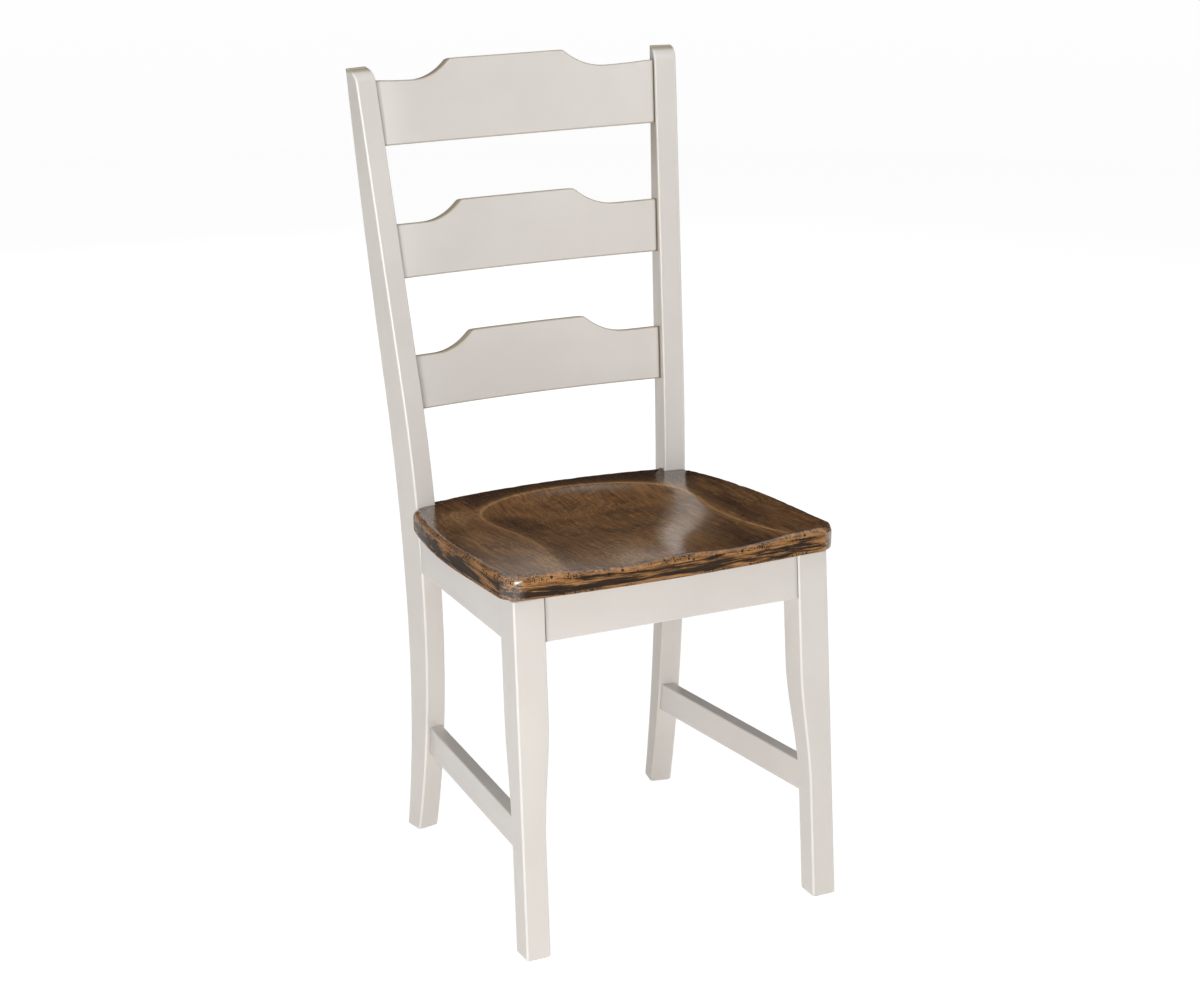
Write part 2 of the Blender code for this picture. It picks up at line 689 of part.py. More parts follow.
def turned(name, profile, place, axis, finish=None):
    """Spin a profile of (radius, distance) pairs round an axis; both ends are on the axis."""
    work = bmesh.new()
    first = axis.orthogonal().normalized()
    second = axis.cross(first).normalized()
    tip = work.verts.new(place + axis * profile[0][1])
    rows = []
    for radius, along in profile[1:-1]:
        ring = []
        for index in range(ROUND_SIDES):
            turn = 2.0 * pi * index / ROUND_SIDES
            spoke = first * cos(turn) + second * sin(turn)
            ring.append(work.verts.new(place + axis * along + spoke * radius))
        rows.append(ring)
    end = work.verts.new(place + axis * profile[-1][1])
    for index in range(ROUND_SIDES):
        after = (index + 1) % ROUND_SIDES
        work.faces.new((tip, rows[0][after], rows[0][index]))
        for low, high in zip(rows, rows[1:]):
            work.faces.new((low[index], low[after], high[after], high[index]))
        work.faces.new((end, rows[-1][index], rows[-1][after]))
    return finish_mesh(name, work, finish)


def screw(name, seat_of_head, axis, length, finish):
    """Build a pan-head wood screw: axis points from the head to the point."""
    profile = [(0.0, -SCREW_HEAD_HEIGHT), (0.6 * SCREW_HEAD_RADIUS, -SCREW_HEAD_HEIGHT),
               (SCREW_HEAD_RADIUS, -0.4 * SCREW_HEAD_HEIGHT), (SCREW_HEAD_RADIUS, 0.0), (SCREW_RADIUS, 0.0),
               (SCREW_RADIUS, length - SCREW_POINT), (0.0, length)]
    return turned(name, profile, seat_of_head, axis, finish)


def screw_hole(name, seat_of_head, axis, length, pocket):
    """Cutter for a screw: a clearance hole and a pocket that the head sits in."""
    bore = SCREW_RADIUS + SCREW_HOLE_CLEARANCE
    wide = SCREW_HEAD_RADIUS + 2.0 * SCREW_HOLE_CLEARANCE
    profile = [(0.0, -pocket), (wide, -pocket), (wide, GAP), (bore, GAP),
               (bore, length - SCREW_POINT + GAP), (0.0, length + GAP)]
    return turned(name, profile, seat_of_head, axis)


def glide(name, centre, finish):
    """Build a nail-on glide: a low button with its nail standing up into the foot."""
    profile = [(0.0, 0.0), (GLIDE_RADIUS - GLIDE_EDGE, 0.0), (GLIDE_RADIUS, GLIDE_EDGE),
               (GLIDE_RADIUS, GLIDE_HEIGHT - GAP), (GLIDE_NAIL_RADIUS, GLIDE_HEIGHT - GAP),
               (GLIDE_NAIL_RADIUS, GLIDE_HEIGHT + GLIDE_NAIL_LENGTH - 2.0 * GLIDE_NAIL_RADIUS),
               (0.0, GLIDE_HEIGHT + GLIDE_NAIL_LENGTH)]
    return turned(name, profile, centre, Vector((0.0, 0.0, 1.0)), finish)


def glide_hole(name, centre):
    """Cutter for the glide's nail in the foot."""
    bore = GLIDE_NAIL_RADIUS + SCREW_HOLE_CLEARANCE
    depth = GLIDE_HEIGHT + GLIDE_NAIL_LENGTH
    profile = [(0.0, 0.0), (bore, 0.0), (bore, depth), (0.0, depth + GAP)]
    return turned(name, profile, centre, Vector((0.0, 0.0, 1.0)))


# Assemblies

def build_front_leg(side, label, finish):
    """Build a front leg: straight outside, relieved inside, cut parallel to the seat at its top."""
    foot = GLIDE_HEIGHT
    heights = [foot + FOOT_CHAMFER, RELIEF_START]
    heights += [RELIEF_START + (RELIEF_END - RELIEF_START) * step / LEG_RING_COUNT
                for step in range(1, LEG_RING_COUNT)]
    heights.append(RELIEF_END)
    rings = [rounded(front_leg_corners(side, foot, FOOT_CHAMFER), EDGE_RADIUS)]
    rings += [rounded(front_leg_corners(side, height), EDGE_RADIUS) for height in heights]
    low = rounded(front_leg_corners(side, RELIEF_END), EDGE_RADIUS)
    high = rounded(front_leg_corners(side, FRONT_LEG_HEIGHT), EDGE_RADIUS)
    top = Plane(Vector((0.0, 0.0, seat_underside(0.0) - GAP)), Vector((0.0, SEAT_SLOPE, 1.0)))
    rings.append([top.meet(first, second) for first, second in zip(low, high)])
    return loft(f"front_leg_{label}", rings, finish)


def post_ring_heights(start, end):
    """Heights of a post's rings: none between a rail's edges, where the front face is flat."""
    apron_top = seat_underside(POST_SETBACK)
    stops = [start, STRETCHER_REAR_TOP - STRETCHER_HEIGHT, STRETCHER_REAR_TOP, apron_top - APRON_HEIGHT,
             apron_top, apron_top + SEAT_THICKNESS, end]
    heights = [start]
    for index, (low, high) in enumerate(zip(stops, stops[1:])):
        count = 1 if index in (1, 3, 4) else round((high - low) / POST_RING_SPACING)
        heights += [low + (high - low) * step / count for step in range(1, count + 1)]
    return heights


def build_post(side, label, finish):
    """Build a rear post from foot to rounded top."""
    foot = GLIDE_HEIGHT
    rings = [rounded(post_corners(side, foot, FOOT_CHAMFER), EDGE_RADIUS)]
    end = POST_HEIGHT - POST_TOP_RADIUS
    for height in post_ring_heights(foot + FOOT_CHAMFER, end):
        rings.append(rounded(post_corners(side, height), EDGE_RADIUS))
    for step in range(1, POST_TOP_STEPS + 1):
        turn = 0.5 * pi * step / POST_TOP_STEPS
        height = end + (POST_TOP_RADIUS - 0.5 * EDGE_RADIUS) * sin(turn)
        corners = post_corners(side, height, 0.0, POST_TOP_RADIUS * (1.0 - cos(turn)))
        rings.append(rounded(corners, min(EDGE_RADIUS, 0.3 * (corners[3] - corners[0]).length)))
    corners = post_corners(side, POST_HEIGHT, 0.5 * EDGE_RADIUS, POST_TOP_RADIUS)
    rings.append(rounded(corners, min(0.5 * EDGE_RADIUS, 0.3 * (corners[3] - corners[0]).length)))
    return loft(f"rear_post_{label}", rings, finish)


def build_rails(frame, finish):
    """Build the aprons and stretchers, and cut their mortises into the legs and posts."""
    tenon_front = (APRON_TENON_THICKNESS, APRON_TENON_SHOULDER, FRONT_TENON_LENGTH, FRONT_TENON_LENGTH)
    section = front_apron_section()
    apart = 0.25 * FRONT_SPREAD_TOP
    made, left, right = rail("front_apron", slide(section, -apart), slide(section, apart),
                             front_inner_plane(LEFT), front_inner_plane(RIGHT),
                             RAIL_EDGE, tenon_front, finish)
    cut(frame["front_leg_left"], left)
    cut(frame["front_leg_right"], right)
    frame["front_apron"] = made
    tenon_rear = (APRON_TENON_THICKNESS, APRON_TENON_SHOULDER, REAR_TENON_LENGTH, REAR_TENON_LENGTH)
    section = rear_apron_section()
    made, left, right = rail("rear_apron", slide(section, -apart), slide(section, apart),
                             post_inner_plane(LEFT), post_inner_plane(RIGHT),
                             RAIL_EDGE, tenon_rear, finish)
    cut(frame["rear_post_left"], left)
    cut(frame["rear_post_right"], right)
    frame["rear_apron"] = made
    for side, label in SIDES:
        top = FRONT_LEG_HEIGHT
        rear_top = seat_underside(POST_SETBACK)
        start = side_section_front(side, APRON_INSET, APRON_THICKNESS, top, APRON_HEIGHT, True)
        end = side_section_rear(side, APRON_INSET, APRON_THICKNESS, rear_top, APRON_HEIGHT, True)
        made, fore, aft = rail(f"side_apron_{label}", start, end,
                               front_rear_plane(side, top - APRON_HEIGHT, top),
                               post_front_plane(side, rear_top - APRON_HEIGHT, rear_top),
                               RAIL_EDGE, tenon_front, finish)
        cut(frame[f"front_leg_{label}"], fore)
        cut(frame[f"rear_post_{label}"], aft)
        frame[f"side_apron_{label}"] = made
        tenon = (STRETCHER_TENON_THICKNESS, STRETCHER_TENON_SHOULDER, STRETCHER_TENON_LENGTH,
                 STRETCHER_TENON_LENGTH)
        start = side_section_front(side, STRETCHER_INSET, STRETCHER_THICKNESS, STRETCHER_FRONT_TOP,
                                   STRETCHER_HEIGHT, False)
        end = side_section_rear(side, STRETCHER_INSET, STRETCHER_THICKNESS, STRETCHER_REAR_TOP,
                                STRETCHER_HEIGHT, False)
        made, fore, aft = rail(f"stretcher_{label}", start, end,
                               front_rear_plane(side, STRETCHER_FRONT_TOP - STRETCHER_HEIGHT,
                                                STRETCHER_FRONT_TOP),
                               post_front_plane(side, STRETCHER_REAR_TOP - STRETCHER_HEIGHT,
                                                STRETCHER_REAR_TOP),
                               STRETCHER_EDGE, tenon, finish)
        cut(frame[f"front_leg_{label}"], fore)
        cut(frame[f"rear_post_{label}"], aft)
        frame[f"stretcher_{label}"] = made


def build_slats(frame, finish):
    """Build the three slats and cut their mortises into the posts."""
    crest = POST_HEIGHT - CREST_BELOW_POST_TOP
    slats = (Slat("crest_slat", crest, CREST_HEIGHT, CREST_END_RISE),
             Slat("middle_slat", crest - SLAT_PITCH, SLAT_HEIGHT, SLAT_END_RISE),
             Slat("lower_slat", crest - 2.0 * SLAT_PITCH, SLAT_HEIGHT, SLAT_END_RISE))
    for slat in slats:
        frame[slat.name] = slat.build(finish)
        for side, label in SIDES:
            cut(frame[f"rear_post_{label}"], slat.mortise(side, label))


def inner_corner(side, at_front):
    """Where the inner faces of two aprons meet, and the directions away from it along each."""
    if at_front:
        cross = front_apron_section()[2].y + GAP
    else:
        cross = rear_apron_section()[2].y - GAP
    fore = side_section_front(side, APRON_INSET, APRON_THICKNESS, FRONT_LEG_HEIGHT, APRON_HEIGHT, True)[2]
    aft = side_section_rear(side, APRON_INSET, APRON_THICKNESS, seat_underside(POST_SETBACK),
                            APRON_HEIGHT, True)[2]
    along = Vector((aft.x - fore.x, aft.y - fore.y)).normalized()
    inward = Vector((-side * along.y, side * along.x))
    start = Vector((fore.x, fore.y)) + inward * GAP
    corner = start + along * ((cross - start.y) / along.y)
    side_way = along if at_front else -along
    return corner, side_way, Vector((-side, 0.0)), inward


def build_block(side, label, at_front, frame, finish, steel):
    """Build a corner block with its seat screw and its two apron screws."""
    place = "front" if at_front else "rear"
    corner, side_way, cross_way, inward = inner_corner(side, at_front)
    plan = [corner + cross_way * BLOCK_NEAR, corner + cross_way * BLOCK_FAR,
            corner + side_way * BLOCK_FAR, corner + side_way * BLOCK_NEAR]

    def level(point, down):
        return Vector((point.x, point.y, seat_underside(point.y) - BLOCK_SEAT_CLEARANCE - down))

    name = f"corner_block_{place}_{label}"
    underside = [level(point, BLOCK_HEIGHT) for point in plan]
    block = loft(name, [underside, [level(point, 0.0) for point in plan]], finish)
    frame[name] = block
    middle = centre_of([Vector((point.x, point.y, 0.0)) for point in plan])
    up = Vector((0.0, SEAT_SLOPE, 1.0)).normalized()
    head = level(middle, BLOCK_HEIGHT - SEAT_SCREW_RECESS)
    length = BLOCK_HEIGHT - SEAT_SCREW_RECESS + SEAT_SCREW_BITE
    hole = screw_hole(f"{name}_seat_hole", head, up, length, 2.0 * SEAT_SCREW_RECESS)
    cut(block, hole)
    cut(frame["seat_board"], hole)
    screw(f"seat_screw_{place}_{label}", head, up, length, steel)
    reach = 0.5 * (BLOCK_NEAR + BLOCK_FAR)
    cross_outward = Vector((0.0, -1.0)) if at_front else Vector((0.0, 1.0))
    apron = "front_apron" if at_front else "rear_apron"
    ways = ((cross_way, cross_outward, apron, "cross"), (side_way, -inward, f"side_apron_{label}", "side"))
    for way, outward, target, which in ways:
        foot = corner + way * reach
        axis = Vector((outward.x, outward.y, 0.0)).normalized()
        head = level(foot, 0.5 * BLOCK_HEIGHT) - axis * APRON_SCREW_BODY
        length = APRON_SCREW_BODY + APRON_SCREW_BITE
        hole = screw_hole(f"{name}_{which}_hole", head, axis, length, BLOCK_FAR)
        cut(block, hole)
        cut(frame[target], hole)
        screw(f"block_screw_{place}_{label}_{which}", head, axis, length, steel)


def build_glides(frame, finish):
    """Build a glide under each foot and cut its nail hole."""
    for side, label in SIDES:
        spots = (("front", front_leg_corners(side, GLIDE_HEIGHT), frame[f"front_leg_{label}"]),
                 ("rear", post_corners(side, GLIDE_HEIGHT), frame[f"rear_post_{label}"]))
        for place, corners, leg in spots:
            middle = centre_of(corners)
            middle.z = 0.0
            glide(f"glide_{place}_{label}", middle, finish)
            cut(leg, glide_hole(f"glide_hole_{place}_{label}", middle))


def centre_footprint():
    """Move everything so that the origin is under the middle of the chair's box."""
    bpy.context.view_layer.update()
    lows = []
    highs = []
    for piece in bpy.data.objects:
        if piece.type == "MESH" and not piece.hide_render:
            ys = [piece.location.y + vertex.co.y for vertex in piece.data.vertices]
            lows.append(min(ys))
            highs.append(max(ys))
    shift = -0.5 * (min(lows) + max(highs))
    root = bpy.data.objects.new("chair", None)
    bpy.context.collection.objects.link(root)
    for piece in list(bpy.data.objects):
        if piece is not root:
            piece.parent = root
    root.location = (0.0, shift, 0.0)


def main():
    clear_scene()
    frame = {"seat_board": seat_board(SEAT_STAIN)}
    for side, label in SIDES:
        frame[f"front_leg_{label}"] = build_front_leg(side, label, PAINT)
        frame[f"rear_post_{label}"] = build_post(side, label, PAINT)
    build_rails(frame, PAINT)
    build_slats(frame, PAINT)
    for side, label in SIDES:
        build_block(side, label, True, frame, RAW_WOOD, STEEL)
        build_block(side, label, False, frame, RAW_WOOD, STEEL)
    build_glides(frame, NYLON)
    centre_footprint()


main()
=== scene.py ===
"""Looks of a ladder-back dining side chair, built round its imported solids.

Painted frame: two relieved front legs, two bent rear posts, three bent slats, aprons and side
stretchers. Seat: one scooped, dark stained board with rubbed edges. The chair faces -Y, +Z is up,
left is -X as seen from the front, and lengths are in metres.
"""
import logging
from dataclasses import dataclass, field
from enum import Enum
from math import asin, cos, exp, hypot, pi, radians, sin, sqrt, tan
from typing import Any, Callable, Iterable, Sequence

import bmesh
import bpy
from mathutils import Matrix, Vector, noise


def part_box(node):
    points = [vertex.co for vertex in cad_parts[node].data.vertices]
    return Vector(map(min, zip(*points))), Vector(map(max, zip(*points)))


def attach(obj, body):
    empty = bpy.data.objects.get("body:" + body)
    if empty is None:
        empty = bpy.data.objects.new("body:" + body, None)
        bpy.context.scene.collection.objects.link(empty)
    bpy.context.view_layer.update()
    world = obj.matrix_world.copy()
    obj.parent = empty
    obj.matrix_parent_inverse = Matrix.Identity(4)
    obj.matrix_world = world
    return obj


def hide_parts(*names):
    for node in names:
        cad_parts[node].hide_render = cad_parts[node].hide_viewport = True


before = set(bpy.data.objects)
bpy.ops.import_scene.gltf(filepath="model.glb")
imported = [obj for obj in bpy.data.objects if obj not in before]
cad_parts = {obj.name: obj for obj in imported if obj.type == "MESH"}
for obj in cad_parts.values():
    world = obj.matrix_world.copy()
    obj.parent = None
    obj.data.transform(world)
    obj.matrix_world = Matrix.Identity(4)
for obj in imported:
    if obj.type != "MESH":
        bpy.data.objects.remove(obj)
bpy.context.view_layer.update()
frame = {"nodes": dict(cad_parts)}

LOG = logging.getLogger("dining_chair")
BODY = "root"
GAP = 0.0003
EDGE_FACETS = 5
FOOT_FACETS = 4
EDGE_WAVER = 0.18
EDGE_WAVES = 40.0
GLAZE_AND_SHADE_GAIN = 2.6
FACE_WEIGHT = 80
PLAIN = ((0.0, 0.0),) * 4
Colour = tuple[float, float, float]
WHITE: Colour = (1.0, 1.0, 1.0)
Outline = list[tuple[float, float, float]]


class Side(Enum):
    """Which side of the chair, as seen from the front."""

    LEFT = -1
    RIGHT = 1

    @property
    def label(self) -> str:
        """Word used in the names of pieces."""
        return self.name.lower()


class Grain(Enum):
    """Direction of the wood's grain: how much each axis is stretched in textures."""

    UPRIGHT = (1.0, 1.0, 0.06)
    ACROSS = (0.06, 1.0, 1.0)
    DEEP = (1.0, 0.06, 1.0)


# Skins made of rings

@dataclass(frozen=True)
class Plane:
    """Flat face that a rail meets."""

    point: Vector
    normal: Vector

    @staticmethod
    def facing(point: Vector, normal: Vector, towards: Vector) -> "Plane":
        """Make a plane from a normal of either sense, turned to agree with one direction."""
        unit = normal.normalized()
        return Plane(point, unit if unit.dot(towards) > 0.0 else -unit)

    def moved(self, distance: float) -> "Plane":
        """Return the plane shifted along its normal."""
        return Plane(self.point + self.normal * distance, self.normal)

    def meet(self, start: Vector, end: Vector) -> Vector:
        """Find where the line through two points crosses the plane."""
        along = end - start
        return start + along * ((self.point - start).dot(self.normal) / along.dot(self.normal))


@dataclass
class Ring:
    """One ring of a skin: its points, how far each is on an eased edge and on a face with glaze and painted
    shade, and how dark its joint is with dirt and painted shadow.
    """

    points: list[Vector]
    edge: list[float]
    # How much glaze and painted shade each point takes.
    top: list[float]
    joint: float = 0.0


def rounded(corners: Sequence[Vector], radius: float, tops: Sequence[tuple[float, float]] = PLAIN) -> Ring:
    """Round the corners of a four-sided outline.

    Args:
        corners: Corners in order.
        radius: Radius of each corner.
        tops: How much the start and the end of each corner belong to a face with glaze and painted shade.

    Returns:
        A ring with its wear values.
    """
    ring = Ring([], [], [])
    for index, corner in enumerate(corners):
        to_last = (corners[index - 1] - corner).normalized() * radius
        to_next = (corners[(index + 1) % len(corners)] - corner).normalized() * radius
        first, last = tops[index]
        for step in range(EDGE_FACETS + 1):
            turn = 0.5 * pi * step / EDGE_FACETS
            ring.points.append(corner + to_last * (1.0 - sin(turn)) + to_next * (1.0 - cos(turn)))
            ring.edge.append(sin(2.0 * turn))
            ring.top.append(min(1.0, GLAZE_AND_SHADE_GAIN * (first + (last - first) * step / EDGE_FACETS)))
    return ring


def eased_foot(corners: Callable[[float, float], list[Vector]], lift: float, edge: float) -> list[Ring]:
    """Round the bottom edge of a leg.

    Args:
        corners: Gives the leg's corners for a height and an inset.
        lift: Height of the foot's face above the floor.
        edge: Radius of the edge.

    Returns:
        Rings from the foot's face up to the full section.
    """
    turns = [0.5 * pi * step / FOOT_FACETS for step in range(FOOT_FACETS + 1)]
    spots = [(lift + edge * (1.0 - cos(turn)), edge * (1.0 - sin(turn))) for turn in turns]
    return [rounded(corners(height, inset), edge) for height, inset in spots]


def wavering(edge: float, seed: float, height: float) -> float:
    """Return the radius of a hand-eased edge, which differs a little along a leg."""
    return edge * (1.0 + EDGE_WAVER * noise.noise(Vector((seed, 0.0, height * EDGE_WAVES))))


def bridge(work: bmesh.types.BMesh, rows: Sequence[Sequence[bmesh.types.BMVert]]) -> None:
    """Join rings of points to each other.

    Args:
        work: Mesh under work.
        rows: Rings of the same count of points.
    """
    for low, high in zip(rows, rows[1:]):
        for index in range(len(low)):
            after = (index + 1) % len(low)
            work.faces.new((low[index], low[after], high[after], high[index]))


def linked(name: str, work: bmesh.types.BMesh) -> bpy.types.Object:
    """Turn a mesh under work into an object at the origin.

    Args:
        name: Name of the object.
        work: Mesh under work, freed here.

    Returns:
        The object, linked to the scene.
    """
    mesh = bpy.data.meshes.new(name)
    work.to_mesh(mesh)
    work.free()
    made = bpy.data.objects.new(name, mesh)
    bpy.context.scene.collection.objects.link(made)
    return made


def smooth_piece(name: str, work: bmesh.types.BMesh, flat_faces: bool = True) -> bpy.types.Object:
    """Turn a mesh under work into a smooth shaded piece.

    Args:
        name: Name of the piece.
        work: Mesh under work, freed here.
        flat_faces: Whether large faces keep their own normals beside small roundings.

    Returns:
        The piece, linked to the scene.
    """
    bmesh.ops.recalc_face_normals(work, faces=work.faces)
    piece = linked(name, work)
    piece.data.shade_smooth()
    if flat_faces:
        weighted = piece.modifiers.new("flat_faces", "WEIGHTED_NORMAL")
        weighted.keep_sharp = True
        weighted.weight = FACE_WEIGHT
    return piece


def close_skin(name: str, rings: Sequence[Ring]) -> bpy.types.Object:
    """Join rings into one closed skin with flat ends, smooth shaded with true flat faces.

    Args:
        name: Name of the piece.
        rings: Rings of the same count of points.

    Returns:
        The piece, with float attributes edge, top and joint on its points.
    """
    work = bmesh.new()
    layers = [work.verts.layers.float.new(label) for label in ("edge", "top", "joint")]
    rows = []
    for ring in rings:
        row = []
        for point, edge, top in zip(ring.points, ring.edge, ring.top):
            vertex = work.verts.new(point)
            for layer, value in zip(layers, (edge, top, ring.joint)):
                vertex[layer] = value
            row.append(vertex)
        rows.append(row)
    bridge(work, rows)
    work.faces.new(list(reversed(rows[0])))
    work.faces.new(rows[-1])
    return smooth_piece(name, work)


def ease(share: float) -> float:
    """Rise smoothly from 0 to 1 as the share does."""
    held = min(max(share, 0.0), 1.0)
    return held * held * (3.0 - 2.0 * held)


def stations(low: float, high: float, spacing: float) -> list[float]:
    """Return even steps from low to high, about one spacing apart."""
    count = max(1, round((high - low) / spacing))
    return [low + (high - low) * step / count for step in range(count + 1)]


# Shader nodes

class Output:
    """Output of a shader node, which stands in formulas as a number does."""

    def __init__(self, net: "Net", socket: bpy.types.NodeSocket) -> None:
        """Keep the socket and the net that it belongs to."""
        self.net = net
        self.socket = socket

    def __add__(self, other: Any) -> "Output":
        """Add a number or an output."""
        return self.net.math("ADD", self, other)

    def __sub__(self, other: Any) -> "Output":
        """Take away a number or an output."""
        return self.net.math("SUBTRACT", self, other)

    def __mul__(self, other: Any) -> "Output":
        """Multiply by a number or an output."""
        return self.net.math("MULTIPLY", self, other)

    def __pow__(self, power: float) -> "Output":
        """Raise to a power."""
        return self.net.math("POWER", self, power)

    def vector(self, operation: str, other: Any) -> "Output":
        """Add to or multiply the three numbers of a vector one by one."""
        return self.net.out("ShaderNodeVectorMath", 0, {0: self, 1: other}, operation=operation)

    def spread(self, low: float, high: float, new_low: float = 0.0, new_high: float = 1.0) -> "Output":
        """Map a range to another smoothly, held at its ends.

        Args:
            low: Start of the range.
            high: End of the range.
            new_low: Result at the start.
            new_high: Result at the end.

        Returns:
            The mapped value.
        """
        inputs = {"Value": self, "From Min": low, "From Max": high, "To Min": new_low, "To Max": new_high}
        return self.net.out("ShaderNodeMapRange", "Result", inputs, interpolation_type="SMOOTHSTEP")


class Net:
    """Short way to add and link shader nodes in one tree."""

    def __init__(self, tree: bpy.types.NodeTree) -> None:
        """Work in one node tree."""
        self.tree = tree

    def fill(self, node: bpy.types.Node, inputs: dict[str | int, Any]) -> None:
        """Set inputs of a node.

        Args:
            node: The node.
            inputs: Number, vector, colour or output for each input, by its name or place.
        """
        for label, value in inputs.items():
            socket = node.inputs[label]
            if isinstance(value, Output):
                self.tree.links.new(value.socket, socket)
            else:
                socket.default_value = (*value, 1.0) if socket.type == "RGBA" else value

    def add(self, kind: str, inputs: dict[str | int, Any] | None = None, **settings: Any) -> bpy.types.Node:
        """Add a node.

        Args:
            kind: Blender's name for the node.
            inputs: What goes into it.
            settings: Its own settings.

        Returns:
            The node.
        """
        node = self.tree.nodes.new(kind)
        for label, value in settings.items():
            setattr(node, label, value)
        self.fill(node, inputs or {})
        return node

    def out(self, kind: str, result: str | int, inputs: dict[str | int, Any] | None = None,
            **settings: Any) -> Output:
        """Add a node and return one of its outputs, by its name or place."""
        return Output(self, self.add(kind, inputs, **settings).outputs[result])

    def math(self, operation: str, first: Any, second: Any) -> Output:
        """Work out one operation on two numbers."""
        return self.out("ShaderNodeMath", 0, {0: first, 1: second}, operation=operation)

    def place(self) -> Output:
        """Return the coordinates on the chair."""
        return self.out("ShaderNodeTexCoord", "Object")

    def attribute(self, label: str) -> Output:
        """Return a value that the piece's points carry."""
        return self.out("ShaderNodeAttribute", "Fac", attribute_name=label)

    def noise(self, place: Output, scale: float | Output, detail: float, rough: float) -> Output:
        """Return noise of about 0.5 on average, with some layers of finer noise of some strength."""
        return self.out("ShaderNodeTexNoise", "Fac",
                        {"Vector": place, "Scale": scale, "Detail": detail, "Roughness": rough})

    def slanted(self, place: Output, turn: float, stretch: float) -> Output:
        """Turn coordinates about the upright axis and draw them out along the new X."""
        inputs = {"Vector": place, "Rotation": (0.0, 0.0, turn), "Scale": (stretch, 1.0, 1.0)}
        return self.out("ShaderNodeMapping", 0, inputs, vector_type="TEXTURE")

    def mix(self, factor: Any, first: Any, second: Any) -> Output:
        """Mix two colours."""
        return self.out("ShaderNodeMix", 2, {0: factor, 6: first, 7: second}, data_type="RGBA")

    def blend(self, factor: Any, first: Any, second: Any) -> Output:
        """Mix two numbers."""
        return self.out("ShaderNodeMix", 0, {0: factor, 2: first, 3: second})

    def relief(self, height: Output, strength: float, depth: float) -> Output:
        """Return the normals of a surface with a fine relief."""
        return self.out("ShaderNodeBump", 0, {"Height": height, "Strength": strength, "Distance": depth})

    def group(self, shared: type["SharedGroup"], **values: Any) -> dict[str, Output]:
        """Place a shared group.

        Args:
            shared: The group.
            values: Its inputs; underscores in their names stand for spaces.

        Returns:
            Its outputs by name.
        """
        inputs = {label.replace("_", " "): value for label, value in values.items()}
        node = self.add("ShaderNodeGroup", inputs, node_tree=shared.tree())
        return {socket.name: Output(self, socket) for socket in node.outputs}

    def surface(self, inputs: dict[str | int, Any]) -> Output:
        """Set inputs of the material's Principled shader.

        Args:
            inputs: What goes into it.

        Returns:
            Its output.
        """
        shader = self.tree.nodes["Principled BSDF"]
        self.fill(shader, inputs)
        return Output(self, shader.outputs[0])


class SharedGroup:
    """Shader node group that several materials share, built once."""

    name: str
    inputs: dict[str, Any]

    @classmethod
    def tree(cls) -> bpy.types.NodeTree:
        """Find the group, or build it.

        Returns:
            The group's node tree.
        """
        known = bpy.data.node_groups.get(cls.name)
        if known:
            return known
        tree = bpy.data.node_groups.new(cls.name, "ShaderNodeTree")
        for label, default in cls.inputs.items():
            kind = "NodeSocketVector" if isinstance(default, tuple) else "NodeSocketFloat"
            tree.interface.new_socket(name=label, in_out="INPUT", socket_type=kind).default_value = default
        net = Net(tree)
        entry = net.add("NodeGroupInput")
        results = cls.wire(net, {label: Output(net, entry.outputs[label]) for label in cls.inputs})
        for label in results:
            tree.interface.new_socket(name=label, in_out="OUTPUT", socket_type="NodeSocketFloat")
        net.add("NodeGroupOutput", results)
        return tree

    @staticmethod
    def wire(net: Net, given: dict[str, Output]) -> dict[str, Output]:
        """Add the group's nodes.

        Args:
            net: Nodes of the group.
            given: What comes in, by name.

        Returns:
            What goes out, by name.
        """
        raise NotImplementedError


class PaintFilm(SharedGroup):
    """Sprayed paint: orange peel, faint grain showing through and a drift of tone."""

    name = "paint_film"
    inputs = {"Stretch": Grain.UPRIGHT.value, "Peel Scale": 900.0}

    @staticmethod
    def wire(net: Net, given: dict[str, Output]) -> dict[str, Output]:
        """Add the film's nodes.

        Args:
            net: Nodes of the group.
            given: What comes in, by name.

        Returns:
            What goes out, by name.
        """
        place = net.place()
        stretched = place.vector("MULTIPLY", given["Stretch"])
        peel = net.noise(place, given["Peel Scale"], 2.0, 0.5)
        return {"Height": net.noise(stretched, 700.0, 3.0, 0.6) * 0.7 + peel * 0.5,
                "Tone": net.noise(place, 9.0, 3.0, 0.5).spread(0.35, 0.65),
                "Gloss": net.noise(stretched, 60.0, 4.0, 0.6).spread(0.3, 0.7)}


class EdgeWear(SharedGroup):
    """Wear along eased edges, broken up so that it comes and goes."""

    name = "edge_wear"
    inputs = {"Edge": 0.0, "Amount": 0.5, "Breakup": 60.0}

    @staticmethod
    def wire(net: Net, given: dict[str, Output]) -> dict[str, Output]:
        """Add the wear's nodes."""
        coarse = net.noise(net.place(), given["Breakup"], 4.0, 0.7)
        return {"Mask": (given["Edge"] * given["Amount"] + (coarse - 0.5)).spread(0.42, 0.62)}


